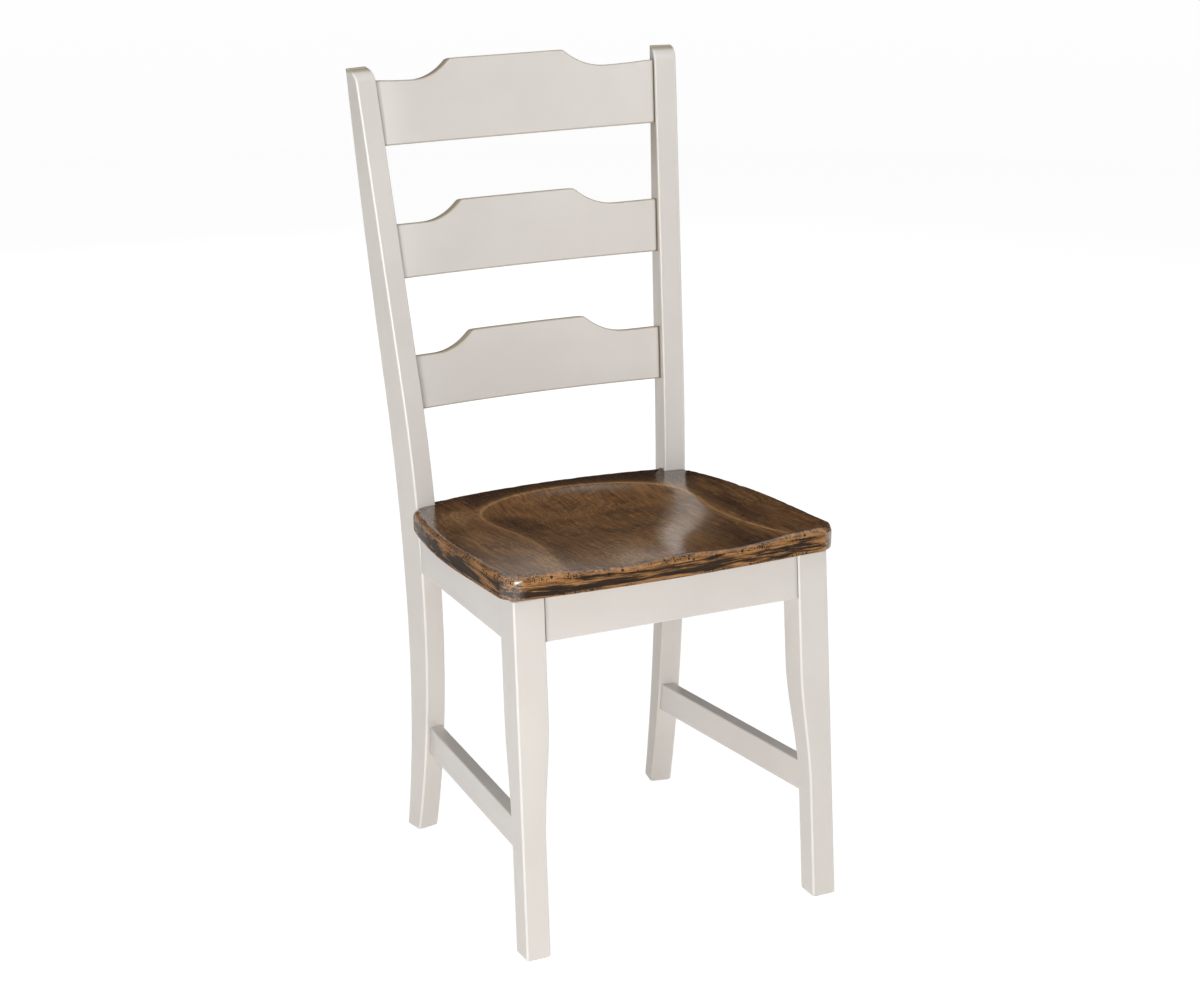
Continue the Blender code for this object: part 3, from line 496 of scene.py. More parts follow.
class WoodGrain(SharedGroup):
    """Wood: broad figure, streaks, fine fibres and pores along one direction."""

    name = "wood_grain"
    inputs = {"Stretch": Grain.ACROSS.value, "Fineness": 1.0, "Bend": 0.04}

    @staticmethod
    def wire(net: Net, given: dict[str, Output]) -> dict[str, Output]:
        """Add the wood's nodes.

        Args:
            net: Nodes of the group.
            given: What comes in, by name.

        Returns:
            What goes out, by name.
        """
        place = net.place()
        drift = (net.noise(place, 5.0, 2.0, 0.5) - 0.5) * given["Bend"]
        bent = place.vector("ADD", net.out("ShaderNodeCombineXYZ", 0, {0: drift, 1: drift, 2: drift}))
        inputs = {0: bent.vector("MULTIPLY", given["Stretch"]), "Scale": given["Fineness"]}
        fine = net.out("ShaderNodeVectorMath", 0, inputs, operation="SCALE")
        fibre = net.noise(fine, 420.0, 3.0, 0.6).spread(0.32, 0.68)
        pores = net.noise(fine, 1100.0, 1.0, 0.5).spread(0.62, 0.72)
        return {"Figure": net.noise(fine, 45.0, 4.0, 0.6).spread(0.3, 0.7),
                "Streak": net.noise(fine, 165.0, 4.0, 0.65).spread(0.32, 0.68),
                "Fibre": fibre, "Pores": pores, "Height": fibre * 0.5 - pores}


class WormSpecks(SharedGroup):
    """Small round holes, as of worm in old wood, sparse and of mixed size."""

    name = "worm_specks"
    inputs = {"Density": 120.0, "Size": 0.16}

    @staticmethod
    def wire(net: Net, given: dict[str, Output]) -> dict[str, Output]:
        """Add the holes' nodes.

        Args:
            net: Nodes of the group.
            given: What comes in, by name.

        Returns:
            What goes out, by name.
        """
        cells = net.add("ShaderNodeTexVoronoi", {"Vector": net.place(), "Scale": given["Density"]})
        hue = net.add("ShaderNodeSeparateColor", {"Color": Output(net, cells.outputs["Color"])})
        own, chance = (Output(net, hue.outputs[band]) for band in ("Red", "Green"))
        inside = net.math("LESS_THAN", Output(net, cells.outputs["Distance"]), own * given["Size"])
        return {"Mask": inside * net.math("GREATER_THAN", chance, 0.62)}


def start_material(name: str) -> tuple[bpy.types.Material, Net]:
    """Make a material.

    Args:
        name: Its name.

    Returns:
        The material and the net of its nodes.
    """
    made = bpy.data.materials.new(name)
    made.use_nodes = True
    return made, Net(made.node_tree)


# Finishes

@dataclass(frozen=True)
class Paint:
    """Satin paint on hardwood: painted highlights on its edges, glaze and painted shade on its upper edges,
    and dirt and painted shadow at its joints.
    """

    colour: Colour = (0.680, 0.650, 0.615)
    shade: Colour = (0.658, 0.626, 0.592)
    # Glaze and painted shade: upper faces, slat lower edges and the rear posts' inner faces darkened with it.
    glaze_and_shade: Colour = (0.400, 0.338, 0.240)
    # Joint dirt and painted shadow: darkening where parts meet.
    joint_dirt_and_shade: Colour = (0.140, 0.115, 0.090)
    # Painted highlight: eased edges lightened as if catching the light.
    edge_highlight: Colour = (0.860, 0.845, 0.820)
    edge_highlight_share: float = 0.60
    glaze_and_shade_share: float = 0.88
    worn_share: float = 0.50
    joint_dirt_and_shade_share: float = 0.80
    roughness: float = 0.30
    gloss_drift: float = 0.08
    coat: float = 0.40
    coat_roughness: float = 0.16
    peel_scale: float = 900.0
    wear_amount: float = 0.12
    wear_breakup: float = 45.0
    joint_dirt_and_shade_falloff: float = 1.4
    relief: float = 0.10
    relief_depth: float = 0.0004

    def material(self, grain: Grain) -> bpy.types.Material:
        """Build the paint for pieces of one grain direction.

        Args:
            grain: Direction of the wood under the paint.

        Returns:
            The material, made once for each direction.
        """
        name = f"paint_{grain.name.lower()}"
        known = bpy.data.materials.get(name)
        if known:
            return known
        made, net = start_material(name)
        edge = net.attribute("edge")
        film = net.group(PaintFilm, Stretch=grain.value, Peel_Scale=self.peel_scale)
        worn = net.group(EdgeWear, Edge=edge, Amount=self.wear_amount, Breakup=self.wear_breakup)["Mask"]
        tone = net.mix(film["Tone"], self.colour, self.shade)
        # Painted highlight along the eased edges.
        tone = net.mix(edge * self.edge_highlight_share, tone, self.edge_highlight)
        # Glaze and painted shade where the top attribute marks it.
        tone = net.mix(net.attribute("top") * self.glaze_and_shade_share, tone, self.glaze_and_shade)
        tone = net.mix(worn * self.worn_share, tone, self.glaze_and_shade)
        # Joint dirt and painted shadow where parts meet.
        joint = net.attribute("joint") ** self.joint_dirt_and_shade_falloff
        net.surface({"Base Color": net.mix(joint * self.joint_dirt_and_shade_share, tone, self.joint_dirt_and_shade),
                     "Roughness": film["Gloss"] * self.gloss_drift + self.roughness,
                     "Coat Weight": self.coat, "Coat Roughness": self.coat_roughness,
                     "Normal": net.relief(film["Height"], self.relief, self.relief_depth)})
        return made


@dataclass(frozen=True)
class SeatStain:
    """Dark stain with a satin top coat: lighter round the scoop, rubbed through along the edges."""

    dark: Colour = (0.046, 0.020, 0.008)
    stain: Colour = (0.225, 0.104, 0.036)
    warm: Colour = (0.370, 0.182, 0.066)
    halo: Colour = (0.520, 0.280, 0.115)
    copper: Colour = (0.430, 0.225, 0.102)
    black: Colour = (0.012, 0.009, 0.008)
    charcoal: Colour = (0.034, 0.021, 0.013)
    streak_share: float = 0.65
    fibre_share: float = 0.66
    pore_share: float = 0.70
    worn_share: float = 0.75
    hole_share: float = 0.90
    cloud_scale: float = 16.0
    stroke_turn: float = radians(24.0)
    stroke_stretch: float = 9.0
    stroke_scale: float = 300.0
    stroke_share: float = 0.50
    patch_scale: float = 22.0
    wear_amount: float = 0.50
    wear_breakup: float = 170.0
    hole_density: float = 190.0
    hole_size: float = 0.42
    pit_scale: float = 640.0
    crowd_scale: float = 34.0
    pit_depth: float = 3.0
    fibre_depth: float = 0.12
    flank_stretch: float = 0.035
    flank_fineness: float = 1.5
    roughness: float = 0.27
    fibre_roughness: float = 0.07
    flank_roughness: float = 0.28
    specular: float = 0.06
    coat: float = 1.0
    coat_ior: float = 1.80
    coat_roughness: float = 0.20
    relief: float = 0.25
    relief_depth: float = 0.0003

    def top(self, net: Net, fibres: dict[str, Output]) -> Output:
        """Colour the sitting surface.

        Args:
            net: The material's nodes.
            fibres: Grain that runs from the front to the back.

        Returns:
            The colour.
        """
        place, fibre, streak = net.place(), fibres["Fibre"], fibres["Streak"]
        base = net.mix(fibres["Figure"], self.dark, self.stain)
        base = net.mix(streak * self.streak_share, base, self.warm)
        cloud = net.noise(place.vector("MULTIPLY", (0.5, 1.0, 1.0)), self.cloud_scale, 3.0, 0.6)
        base = net.mix(cloud.spread(0.35, 0.65) * net.attribute("dish"), base, self.warm)
        tone = (streak - 0.5) * 0.30 + net.attribute("tone")
        base = net.mix(tone.spread(0.0, 1.0), base, self.halo)
        base = net.mix(tone.spread(0.0, -0.9), base, self.dark)
        base = net.mix(net.attribute("halo") * (fibre * 0.30 + 0.7), base, self.halo)
        slanted = net.slanted(place, self.stroke_turn, self.stroke_stretch)
        swept = net.noise(slanted, self.stroke_scale, 3.0, 0.6).spread(0.42, 0.66, 0.0, self.stroke_share)
        patches = net.noise(place, self.patch_scale, 2.0, 0.5).spread(0.44, 0.60)
        base = net.mix(swept * patches, base, self.dark)
        base = net.mix(fibre * self.fibre_share, base, self.dark)
        rim = net.attribute("rim")
        line = rim.spread(-0.28, 0.02) * rim.spread(0.46, 0.06) * (fibre * -0.35 + 0.9)
        base = net.mix(line * net.attribute("line"), base, self.halo)
        return net.mix(fibres["Pores"] * self.pore_share, base, self.black)

    def flank(self, net: Net) -> Output:
        """Colour the edge of the board: copper rub-through, charcoal patches and black streaks.

        Args:
            net: The material's nodes.

        Returns:
            The colour.
        """
        turned, place = net.attribute("flank"), net.place()
        fine, drawn = self.flank_fineness, self.flank_stretch
        front = net.group(WoodGrain, Stretch=(drawn, 1.0, 1.0), Fineness=fine, Bend=0.012)
        sides = net.group(WoodGrain, Stretch=(1.0, drawn, 1.0), Fineness=fine, Bend=0.008)
        streak, fibre = (net.blend(turned, front[label], sides[label]) for label in ("Streak", "Fibre"))
        patch = net.noise(place.vector("MULTIPLY", (0.5, 0.5, 1.6)), 30.0, 2.0, 0.5) - 0.5
        across = net.out("ShaderNodeSeparateXYZ", "X", {"Vector": place})
        rubbed = net.attribute("rub") * (turned * 0.15 + 0.70) + net.attribute("corner") * 0.06
        lifted = rubbed + streak * 0.62 + patch * 1.1 + turned * 0.03 + across * 0.30 - 0.165
        colour = net.mix(lifted.spread(0.20, 0.50), self.charcoal, self.warm)
        colour = net.mix(lifted.spread(0.50, 0.95), colour, self.copper)
        return net.mix(fibre.spread(0.60, 0.15) * 0.60, colour, self.black)

    def material(self) -> bpy.types.Material:
        """Build the seat's finish.

        Returns:
            The material; it reads the attributes that the seat's points carry.
        """
        made, net = start_material("seat_stain")
        fibres = net.group(WoodGrain, Stretch=Grain.DEEP.value, Fineness=1.0, Bend=0.06)
        rub, side, corner = (net.attribute(label) for label in ("rub", "side", "corner"))
        worn = net.group(EdgeWear, Edge=rub, Amount=self.wear_amount, Breakup=self.wear_breakup)["Mask"]
        colour = net.mix(side, self.top(net, fibres), self.flank(net))
        colour = net.mix(worn * self.worn_share, colour, self.copper)
        place = net.place()
        holes = net.group(WormSpecks, Density=self.hole_density, Size=self.hole_size)["Mask"]
        pits = net.noise(place, self.pit_scale, 1.0, 0.5).spread(0.50, 0.56)
        crowd = pits * (corner * 0.16 + net.noise(place, self.crowd_scale, 2.0, 0.5)).spread(0.44, 0.58)
        near = net.math("MAXIMUM", holes, crowd) * rub.spread(0.15, 0.55)
        dull = side * (corner * -0.95 + 0.95)
        rough = fibres["Fibre"] * self.fibre_roughness + side * self.flank_roughness + self.roughness
        height = fibres["Height"] * self.fibre_depth - near * self.pit_depth
        net.surface({"Base Color": net.mix(near * self.hole_share, colour, self.black),
                     "Roughness": rough, "Specular IOR Level": self.specular,
                     "Coat Weight": dull * -self.coat + self.coat, "Coat IOR": self.coat_ior,
                     "Coat Roughness": self.coat_roughness,
                     "Normal": net.relief(height, self.relief, self.relief_depth)})
        return made


@dataclass(frozen=True)
class RawWood:
    """Bare planed hardwood of the corner blocks."""

    light: Colour = (0.560, 0.400, 0.235)
    dark: Colour = (0.330, 0.205, 0.105)
    fineness: float = 1.6
    fibre_share: float = 0.35
    roughness: float = 0.56
    fibre_roughness: float = 0.12
    relief: float = 0.30
    relief_depth: float = 0.0003

    def material(self) -> bpy.types.Material:
        """Build the bare wood.

        Returns:
            The material.
        """
        made, net = start_material("raw_wood")
        fibres = net.group(WoodGrain, Stretch=Grain.ACROSS.value, Fineness=self.fineness)
        colour = net.mix(fibres["Figure"], self.light, self.dark)
        net.surface({"Base Color": net.mix(fibres["Fibre"] * self.fibre_share, colour, self.dark),
                     "Roughness": fibres["Fibre"] * self.fibre_roughness + self.roughness,
                     "Normal": net.relief(fibres["Height"], self.relief, self.relief_depth)})
        return made


@dataclass(frozen=True)
class Mottled:
    """Finish of the small hardware: one colour clouded or scuffed with another."""

    name: str
    colour: Colour
    second: Colour
    stretch: tuple[float, float, float]
    scale: float
    detail: float
    cover: tuple[float, float]
    roughness: float
    metallic: float
    relief: float
    relief_depth: float = 0.0001
    cloud_roughness: float = 0.20

    def material(self) -> bpy.types.Material:
        """Build the finish.

        Returns:
            The material.
        """
        made, net = start_material(self.name)
        place = net.place().vector("MULTIPLY", self.stretch)
        cloud = net.noise(place, self.scale, self.detail, 0.6).spread(*self.cover)
        net.surface({"Base Color": net.mix(cloud, self.colour, self.second),
                     "Roughness": cloud * self.cloud_roughness + self.roughness, "Metallic": self.metallic,
                     "Normal": net.relief(cloud, self.relief, self.relief_depth)})
        return made


ZINC = Mottled("screw_steel", colour=(0.600, 0.600, 0.610), second=(0.380, 0.370, 0.360),
               stretch=(1.0, 1.0, 1.0), scale=900.0, detail=4.0, cover=(0.35, 0.65),
               roughness=0.22, metallic=1.0, relief=0.15)
NYLON = Mottled("glide_nylon", colour=(0.350, 0.300, 0.250), second=(0.240, 0.205, 0.170),
                stretch=(1.0, 0.2, 1.0), scale=700.0, detail=3.0, cover=(0.45, 0.60),
                roughness=0.40, metallic=0.0, relief=0.20)


def dress(piece: bpy.types.Object, material: bpy.types.Material, node: str) -> None:
    """Give a built piece its finish and its place among the chair's bodies.

    Args:
        piece: The piece.
        material: Its finish.
        node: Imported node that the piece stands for.
    """
    piece.data.materials.append(material)
    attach(piece, BODY)
    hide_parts(node)
    LOG.info("%s: %d points, stands for %s", piece.name, len(piece.data.vertices), node)


# Frame of the chair

@dataclass
class FrontLeg:
    """Front leg: straight outside, relieved inside below the stretcher, leaning back to the seat."""

    side: Side
    shift: float
    height: float = 0.4270
    spread_top: float = 0.4006
    spread_foot: float = 0.4062
    foot_forward: float = 0.0388
    size_top: float = 0.0388
    size_foot: float = 0.0301
    relief_start: float = 0.1420
    relief_end: float = 0.2860
    lift: float = 0.0015
    edge: float = 0.0026
    spacing: float = 0.0100
    plain_top: float = 0.0200
    joint_shade: float = 0.0040
    seed: float = 3.0

    def face_y(self, height: float) -> float:
        """Return where the front face is at one height."""
        return self.shift - self.foot_forward * (1.0 - height / self.height)

    def outer_x(self, height: float) -> float:
        """Return the distance of the outer face from the middle at one height."""
        return 0.5 * (self.spread_foot + (self.spread_top - self.spread_foot) * height / self.height)

    def size(self, height: float) -> float:
        """Return the width and depth at one height."""
        share = ease((height - self.relief_start) / (self.relief_end - self.relief_start))
        return self.size_foot + (self.size_top - self.size_foot) * share

    def corners(self, height: float, inset: float = 0.0) -> list[Vector]:
        """Find the corners at one height.

        Args:
            height: Height above the floor.
            inset: How far each face stands back.

        Returns:
            The corners, running round from the outer front one.
        """
        size = self.size(height)
        outer, inner = self.outer_x(height) - inset, self.outer_x(height) - size + inset
        front, rear = self.face_y(height) + inset, self.face_y(height) + size - inset
        places = ((outer, front), (inner, front), (inner, rear), (outer, rear))
        return [Vector((self.side.value * across, back, height)) for across, back in places]

    def inner_plane(self) -> Plane:
        """Return the inner face above the relief, facing the chair's middle."""
        low, high = self.corners(self.relief_end), self.corners(self.height)
        return Plane.facing(low[1], (high[1] - low[1]).cross(low[2] - low[1]),
                            Vector((-self.side.value, 0, 0)))

    def rear_plane(self, low: float, high: float) -> Plane:
        """Find the rear face.

        Args:
            low: Height where the rail's underside meets it.
            high: Height where the rail's top meets it.

        Returns:
            The plane, facing the back.
        """
        bottom, top = self.corners(low), self.corners(high)
        normal = (top[2] - bottom[2]).cross(bottom[3] - bottom[2])
        return Plane.facing((bottom[2] + top[2]) / 2.0, normal, Vector((0, 1, 0)))

    def build(self, seat_slope: float) -> bpy.types.Object:
        """Build the leg.

        Args:
            seat_slope: Fall of the seat for each metre back; the leg's top follows it.

        Returns:
            The leg.
        """
        rings = eased_foot(self.corners, self.lift, self.edge)
        for height in stations(self.lift + 2.0 * self.edge, self.height - self.plain_top, self.spacing):
            radius = wavering(self.edge, self.side.value * self.seed, height)
            rings.append(rounded(self.corners(height), radius))
        low, high = (rounded(self.corners(height), self.edge) for height in (self.relief_end, self.height))
        slope = Vector((0.0, seat_slope, 1.0)).normalized()
        for drop, joint in ((self.joint_shade, 0.0), (0.0, 1.0)):
            top = Plane(Vector((0.0, self.shift, self.height - GAP - drop)), slope)
            points = [top.meet(first, second) for first, second in zip(low.points, high.points)]
            rings.append(Ring(points, low.edge, low.top, joint))
        return close_skin(f"front_leg_{self.side.label}_painted", rings)

    def dress(self, seat_slope: float, paint: Paint) -> None:
        """Build the leg and paint it."""
        dress(self.build(seat_slope), paint.material(Grain.UPRIGHT), f"front_leg_{self.side.label}")


@dataclass
class RearPost:
    """Rear leg and back post in one bent plank, turned and leaning outwards."""

    side: Side
    shift: float
    height: float = 0.9495
    width: float = 0.0277
    turn: float = radians(11.1)
    lean_out: float = 0.0200
    reference: float = 0.4300
    spread: float = 0.3648
    setback: float = 0.3177
    bend_height: float = 0.2650
    radius_below: float = 1.1400
    radius_above: float = 1.5900
    rake: float = radians(11.3)
    depth_seat: float = 0.0415
    depth_foot: float = 0.0263
    depth_top: float = 0.0215
    top_radius: float = 0.0160
    top_facets: int = 14
    top_spots: tuple[float, ...] = (0.25, 0.5, 1.0)
    edge_limit: float = 0.30
    lift: float = 0.0015
    edge: float = 0.0026
    spacing: float = 0.0100
    # Painted shade: how far the inner face is darkened.
    inner_face_shade: float = 0.2600
    seed: float = 7.0

    def swept(self, height: float) -> float:
        """Find how far back the bent front face is, from its face at the bend.

        Args:
            height: Height above the floor.

        Returns:
            The distance.
        """
        if height < self.bend_height:
            return self.radius_below - sqrt(self.radius_below ** 2 - (self.bend_height - height) ** 2)
        rise = height - self.bend_height
        straight_from = self.radius_above * sin(self.rake)
        bent = min(rise, straight_from)
        back = self.radius_above - sqrt(self.radius_above ** 2 - bent ** 2)
        return back + max(rise - straight_from, 0.0) * tan(self.rake)

    def depth(self, height: float) -> float:
        """Find the plank's depth, greatest at the seat.

        Args:
            height: Height above the floor.

        Returns:
            The depth.
        """
        if height < self.reference:
            share, end = 1.0 - height / self.reference, self.depth_foot
        else:
            share, end = (height - self.reference) / (self.height - self.reference), self.depth_top
        return self.depth_seat - (self.depth_seat - end) * share ** 2

    def back(self) -> Vector:
        """Return the direction across the plank's depth."""
        return Vector((self.side.value * sin(self.turn), cos(self.turn), 0.0))

    def inward(self) -> Vector:
        """Return the direction from the outer face to the inner face."""
        return Vector((-self.side.value * cos(self.turn), sin(self.turn), 0.0))

    def point(self, height: float, across: float, behind: float) -> Vector:
        """Find a point of the post.

        Args:
            height: Height above the floor.
            across: Distance from the outer face.
            behind: Distance behind the front face.

        Returns:
            The point.
        """
        out = self.side.value * (0.5 * self.spread + self.lean_out * (height - self.reference))
        swept = self.swept(height) - self.swept(self.reference)
        return (Vector((out, self.setback + self.shift, height)) + self.back() * (swept + behind)
                + self.inward() * across)

    def corners(self, height: float, inset: float = 0.0, front_cut: float = 0.0) -> list[Vector]:
        """Find the corners at one height.

        Args:
            height: Height above the floor.
            inset: How far each face stands back.
            front_cut: How much more the front face does.

        Returns:
            The corners, running round from the outer front one.
        """
        deep, near, wide = self.depth(height) - inset, inset + front_cut, self.width - inset
        places = ((inset, near), (wide, near), (wide, deep), (inset, deep))
        return [self.point(height, across, behind) for across, behind in places]

    def front_plane(self, low: float, high: float) -> Plane:
        """Return the front face between two heights, facing forward."""
        bottom, top = self.point(low, 0.0, 0.0), self.point(high, 0.0, 0.0)
        return Plane.facing((bottom + top) / 2.0, (top - bottom).cross(self.inward()), Vector((0, -1, 0)))

    def inner_plane(self) -> Plane:
        """Return the inner face, facing the chair's middle."""
        low, high = self.point(0.0, self.width, 0.0), self.point(self.height, self.width, 0.0)
        return Plane.facing(low, (high - low).cross(self.back()), Vector((-self.side.value, 0, 0)))

    def top_ring(self, height: float, inset: float, cut: float, edge: float, glazed_and_shaded: float) -> Ring:
        """Make one ring of the rounded top.

        Args:
            height: Height above the floor.
            inset: How far each face stands back.
            cut: How much more the front face does.
            edge: Radius of the edges, where there is room.
            glazed_and_shaded: How much glaze and painted shade shows, from 0 to 1.

        Returns:
            The ring.
        """
        corners = self.corners(height, inset, cut)
        radius = min(edge, self.edge_limit * (corners[3] - corners[0]).length)
        return rounded(corners, radius, ((glazed_and_shaded, glazed_and_shaded),) * len(corners))

    def build(self) -> bpy.types.Object:
        """Build the post from its eased foot to its rounded top; its inner face is darkened with painted
        shade.

        Returns:
            The post.
        """
        rings = eased_foot(self.corners, self.lift, self.edge)
        # Painted shade: the inner face darkened towards the glaze colour.
        inner = ((0.0, 0.0), (0.0, self.inner_face_shade), (self.inner_face_shade, 0.0), (0.0, 0.0))
        end = self.height - self.top_radius
        for height in stations(self.lift + 2.0 * self.edge, end, self.spacing):
            radius = wavering(self.edge, self.side.value * self.seed, height)
            rings.append(rounded(self.corners(height), radius, inner))
        for step in range(1, self.top_facets + 1):
            turn = 0.5 * pi * step / self.top_facets
            height = end + (self.top_radius - 0.5 * self.edge) * sin(turn)
            glazed_and_shaded = ease(2.0 * step / self.top_facets - 1.0)
            rings.append(self.top_ring(height, 0.0, self.top_radius * (1.0 - cos(turn)), self.edge, glazed_and_shaded))
        for spot in self.top_spots:
            height = self.height - 0.5 * self.edge * (1.0 - sqrt(1.0 - (1.0 - spot) ** 2))
            rings.append(self.top_ring(height, 0.5 * self.edge * spot, self.top_radius, 0.5 * self.edge, 1.0))
        return close_skin(f"rear_post_{self.side.label}_painted", rings)

    def dress(self, paint: Paint) -> None:
        """Build the post and paint it."""
        dress(self.build(), paint.material(Grain.UPRIGHT), f"rear_post_{self.side.label}")


@dataclass
class Rail:
    """Straight rail between two faces, its section given near each end."""

    name: str
    start: list[Vector]
    end: list[Vector]
    start_plane: Plane
    end_plane: Plane
    edge: float
    grain: Grain
    shading: float = 1.0
    # Dirt and painted shadow darken the rail's ends, fading over these distances.
    ends: tuple[float, ...] = (0.0, 0.0007, 0.0020, 0.0060)
    spacing: float = 0.0200

    def build(self) -> bpy.types.Object:
        """Build the rail, with rings close together where it meets its joints.

        Returns:
            The rail.
        """
        first, second = rounded(self.start, self.edge), rounded(self.end, self.edge)
        pairs = list(zip(first.points, second.points))
        starts, finishes = ([plane.moved(GAP).meet(one, other) for one, other in pairs]
                            for plane in (self.start_plane, self.end_plane))
        length = (finishes[0] - starts[0]).length
        shares = [(distance / length, self.shading * (1.0 - index / (len(self.ends) - 1.0)))
                  for index, distance in enumerate(self.ends)]
        step = self.spacing / length
        middle = [(share, 0.0) for share in stations(step, 1.0 - step, step)]
        mirrored = [(1.0 - share, joint) for share, joint in reversed(shares)]
        rings = [Ring([one.lerp(other, share) for one, other in zip(starts, finishes)],
                      first.edge, first.top, joint) for share, joint in shares + middle + mirrored]
        return close_skin(f"{self.name}_painted", rings)

    def dress(self, paint: Paint) -> None:
        """Build the rail and paint it."""
        dress(self.build(), paint.material(self.grain), self.name)


@dataclass(frozen=True)
class Stock:
    """Section that a rail is cut to, and how far it stands back from the faces beside it."""

    height: float
    thickness: float
    inset: float
    edge: float


@dataclass
class RailSet:
    """Aprons under the seat and stretchers between the legs."""

    legs: dict[Side, FrontLeg]
    posts: dict[Side, RearPost]
    shift: float
    seat_slope: float = 0.0580
    apron: Stock = Stock(height=0.0545, thickness=0.0190, inset=0.0015, edge=0.0015)
    stretcher: Stock = Stock(height=0.0367, thickness=0.0175, inset=0.0060, edge=0.0020)
    rear_inset: float = 0.0040
    stretcher_tops: tuple[float, float] = (0.1577, 0.1482)
    side_shading: float = 0.45
    section_reach: float = 0.1000

    def underside(self, back: float) -> float:
        """Return the height of the seat's underside at one depth."""
        return self.legs[Side.LEFT].height - self.seat_slope * (back - self.shift)

    def cross(self, name: str, front: float, lean: float, planes: list[Plane]) -> Rail:
        """Make the front or the rear apron.

        Args:
            name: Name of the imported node.
            front: Depth of its front face at the top.
            lean: How far the section moves forward for each metre down.
            planes: Faces that it runs between, left and right.

        Returns:
            The apron.
        """
        down = Vector((0.0, -lean, -1.0)) * self.apron.height
        near, far = (Vector((0.0, back, self.underside(back) - GAP))
                     for back in (front, front + self.apron.thickness))
        apart = Vector((self.section_reach, 0.0, 0.0))
        section = [near + down, far + down, far, near]
        return Rail(name, [point - apart for point in section], [point + apart for point in section],
                    *planes, self.apron.edge, Grain.ACROSS)

    def along(self, side: Side, name: str, tops: tuple[float, float], stock: Stock, under_seat: bool) -> Rail:
        """Make a rail from a front leg to the post behind it.

        Args:
            side: Side of the chair.
            name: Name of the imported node.
            tops: Height of its top at the leg and at the post.
            stock: Its section.
            under_seat: Whether its top follows the seat.

        Returns:
            The rail.
        """
        leg, post = self.legs[side], self.posts[side]
        rear = leg.face_y(tops[0]) + leg.size(tops[0])
        outer = side.value * (leg.outer_x(tops[0]) - stock.inset)
        inner = outer - side.value * stock.thickness
        top = self.underside(rear) - GAP if under_seat else tops[0]
        start = [Vector((across, rear, level)) for across, level in
                 ((outer, top - stock.height), (inner, top - stock.height), (inner, top), (outer, top))]
        ends = [post.point(tops[1], across, 0.0) for across in (stock.inset, stock.inset + stock.thickness)]
        levels = [self.underside(point.y) - GAP if under_seat else tops[1] for point in ends]
        end = [Vector((ends[which].x, ends[which].y, levels[which] - down))
               for which, down in ((0, stock.height), (1, stock.height), (1, 0.0), (0, 0.0))]
        return Rail(name, start, end, leg.rear_plane(tops[0] - stock.height, tops[0]),
                    post.front_plane(tops[1] - stock.height, tops[1]), stock.edge, Grain.DEEP,
                    self.side_shading)

    def rails(self) -> list[Rail]:
        """Make every rail of the chair.

        Returns:
            The front apron, the rear apron, and the apron and the stretcher of each side.
        """
        leg, post = self.legs[Side.LEFT], self.posts[Side.LEFT]
        rear_face = post.point(post.reference, post.width, post.depth_seat - self.rear_inset).y
        made = [self.cross("front_apron", self.shift + self.apron.inset, leg.foot_forward / leg.height,
                           [self.legs[side].inner_plane() for side in Side]),
                self.cross("rear_apron", rear_face - self.apron.thickness, 0.0,
                           [self.posts[side].inner_plane() for side in Side])]
        apron_tops = (leg.height, self.underside(post.setback + self.shift))
        for side in Side:
            made.append(self.along(side, f"side_apron_{side.label}", apron_tops, self.apron, True))
            made.append(self.along(side, f"stretcher_{side.label}", self.stretcher_tops, self.stretcher,
                                   False))
        return made

    def dress(self, paint: Paint) -> None:
        """Build every rail and paint it."""
        for rail in self.rails():
            rail.dress(paint)


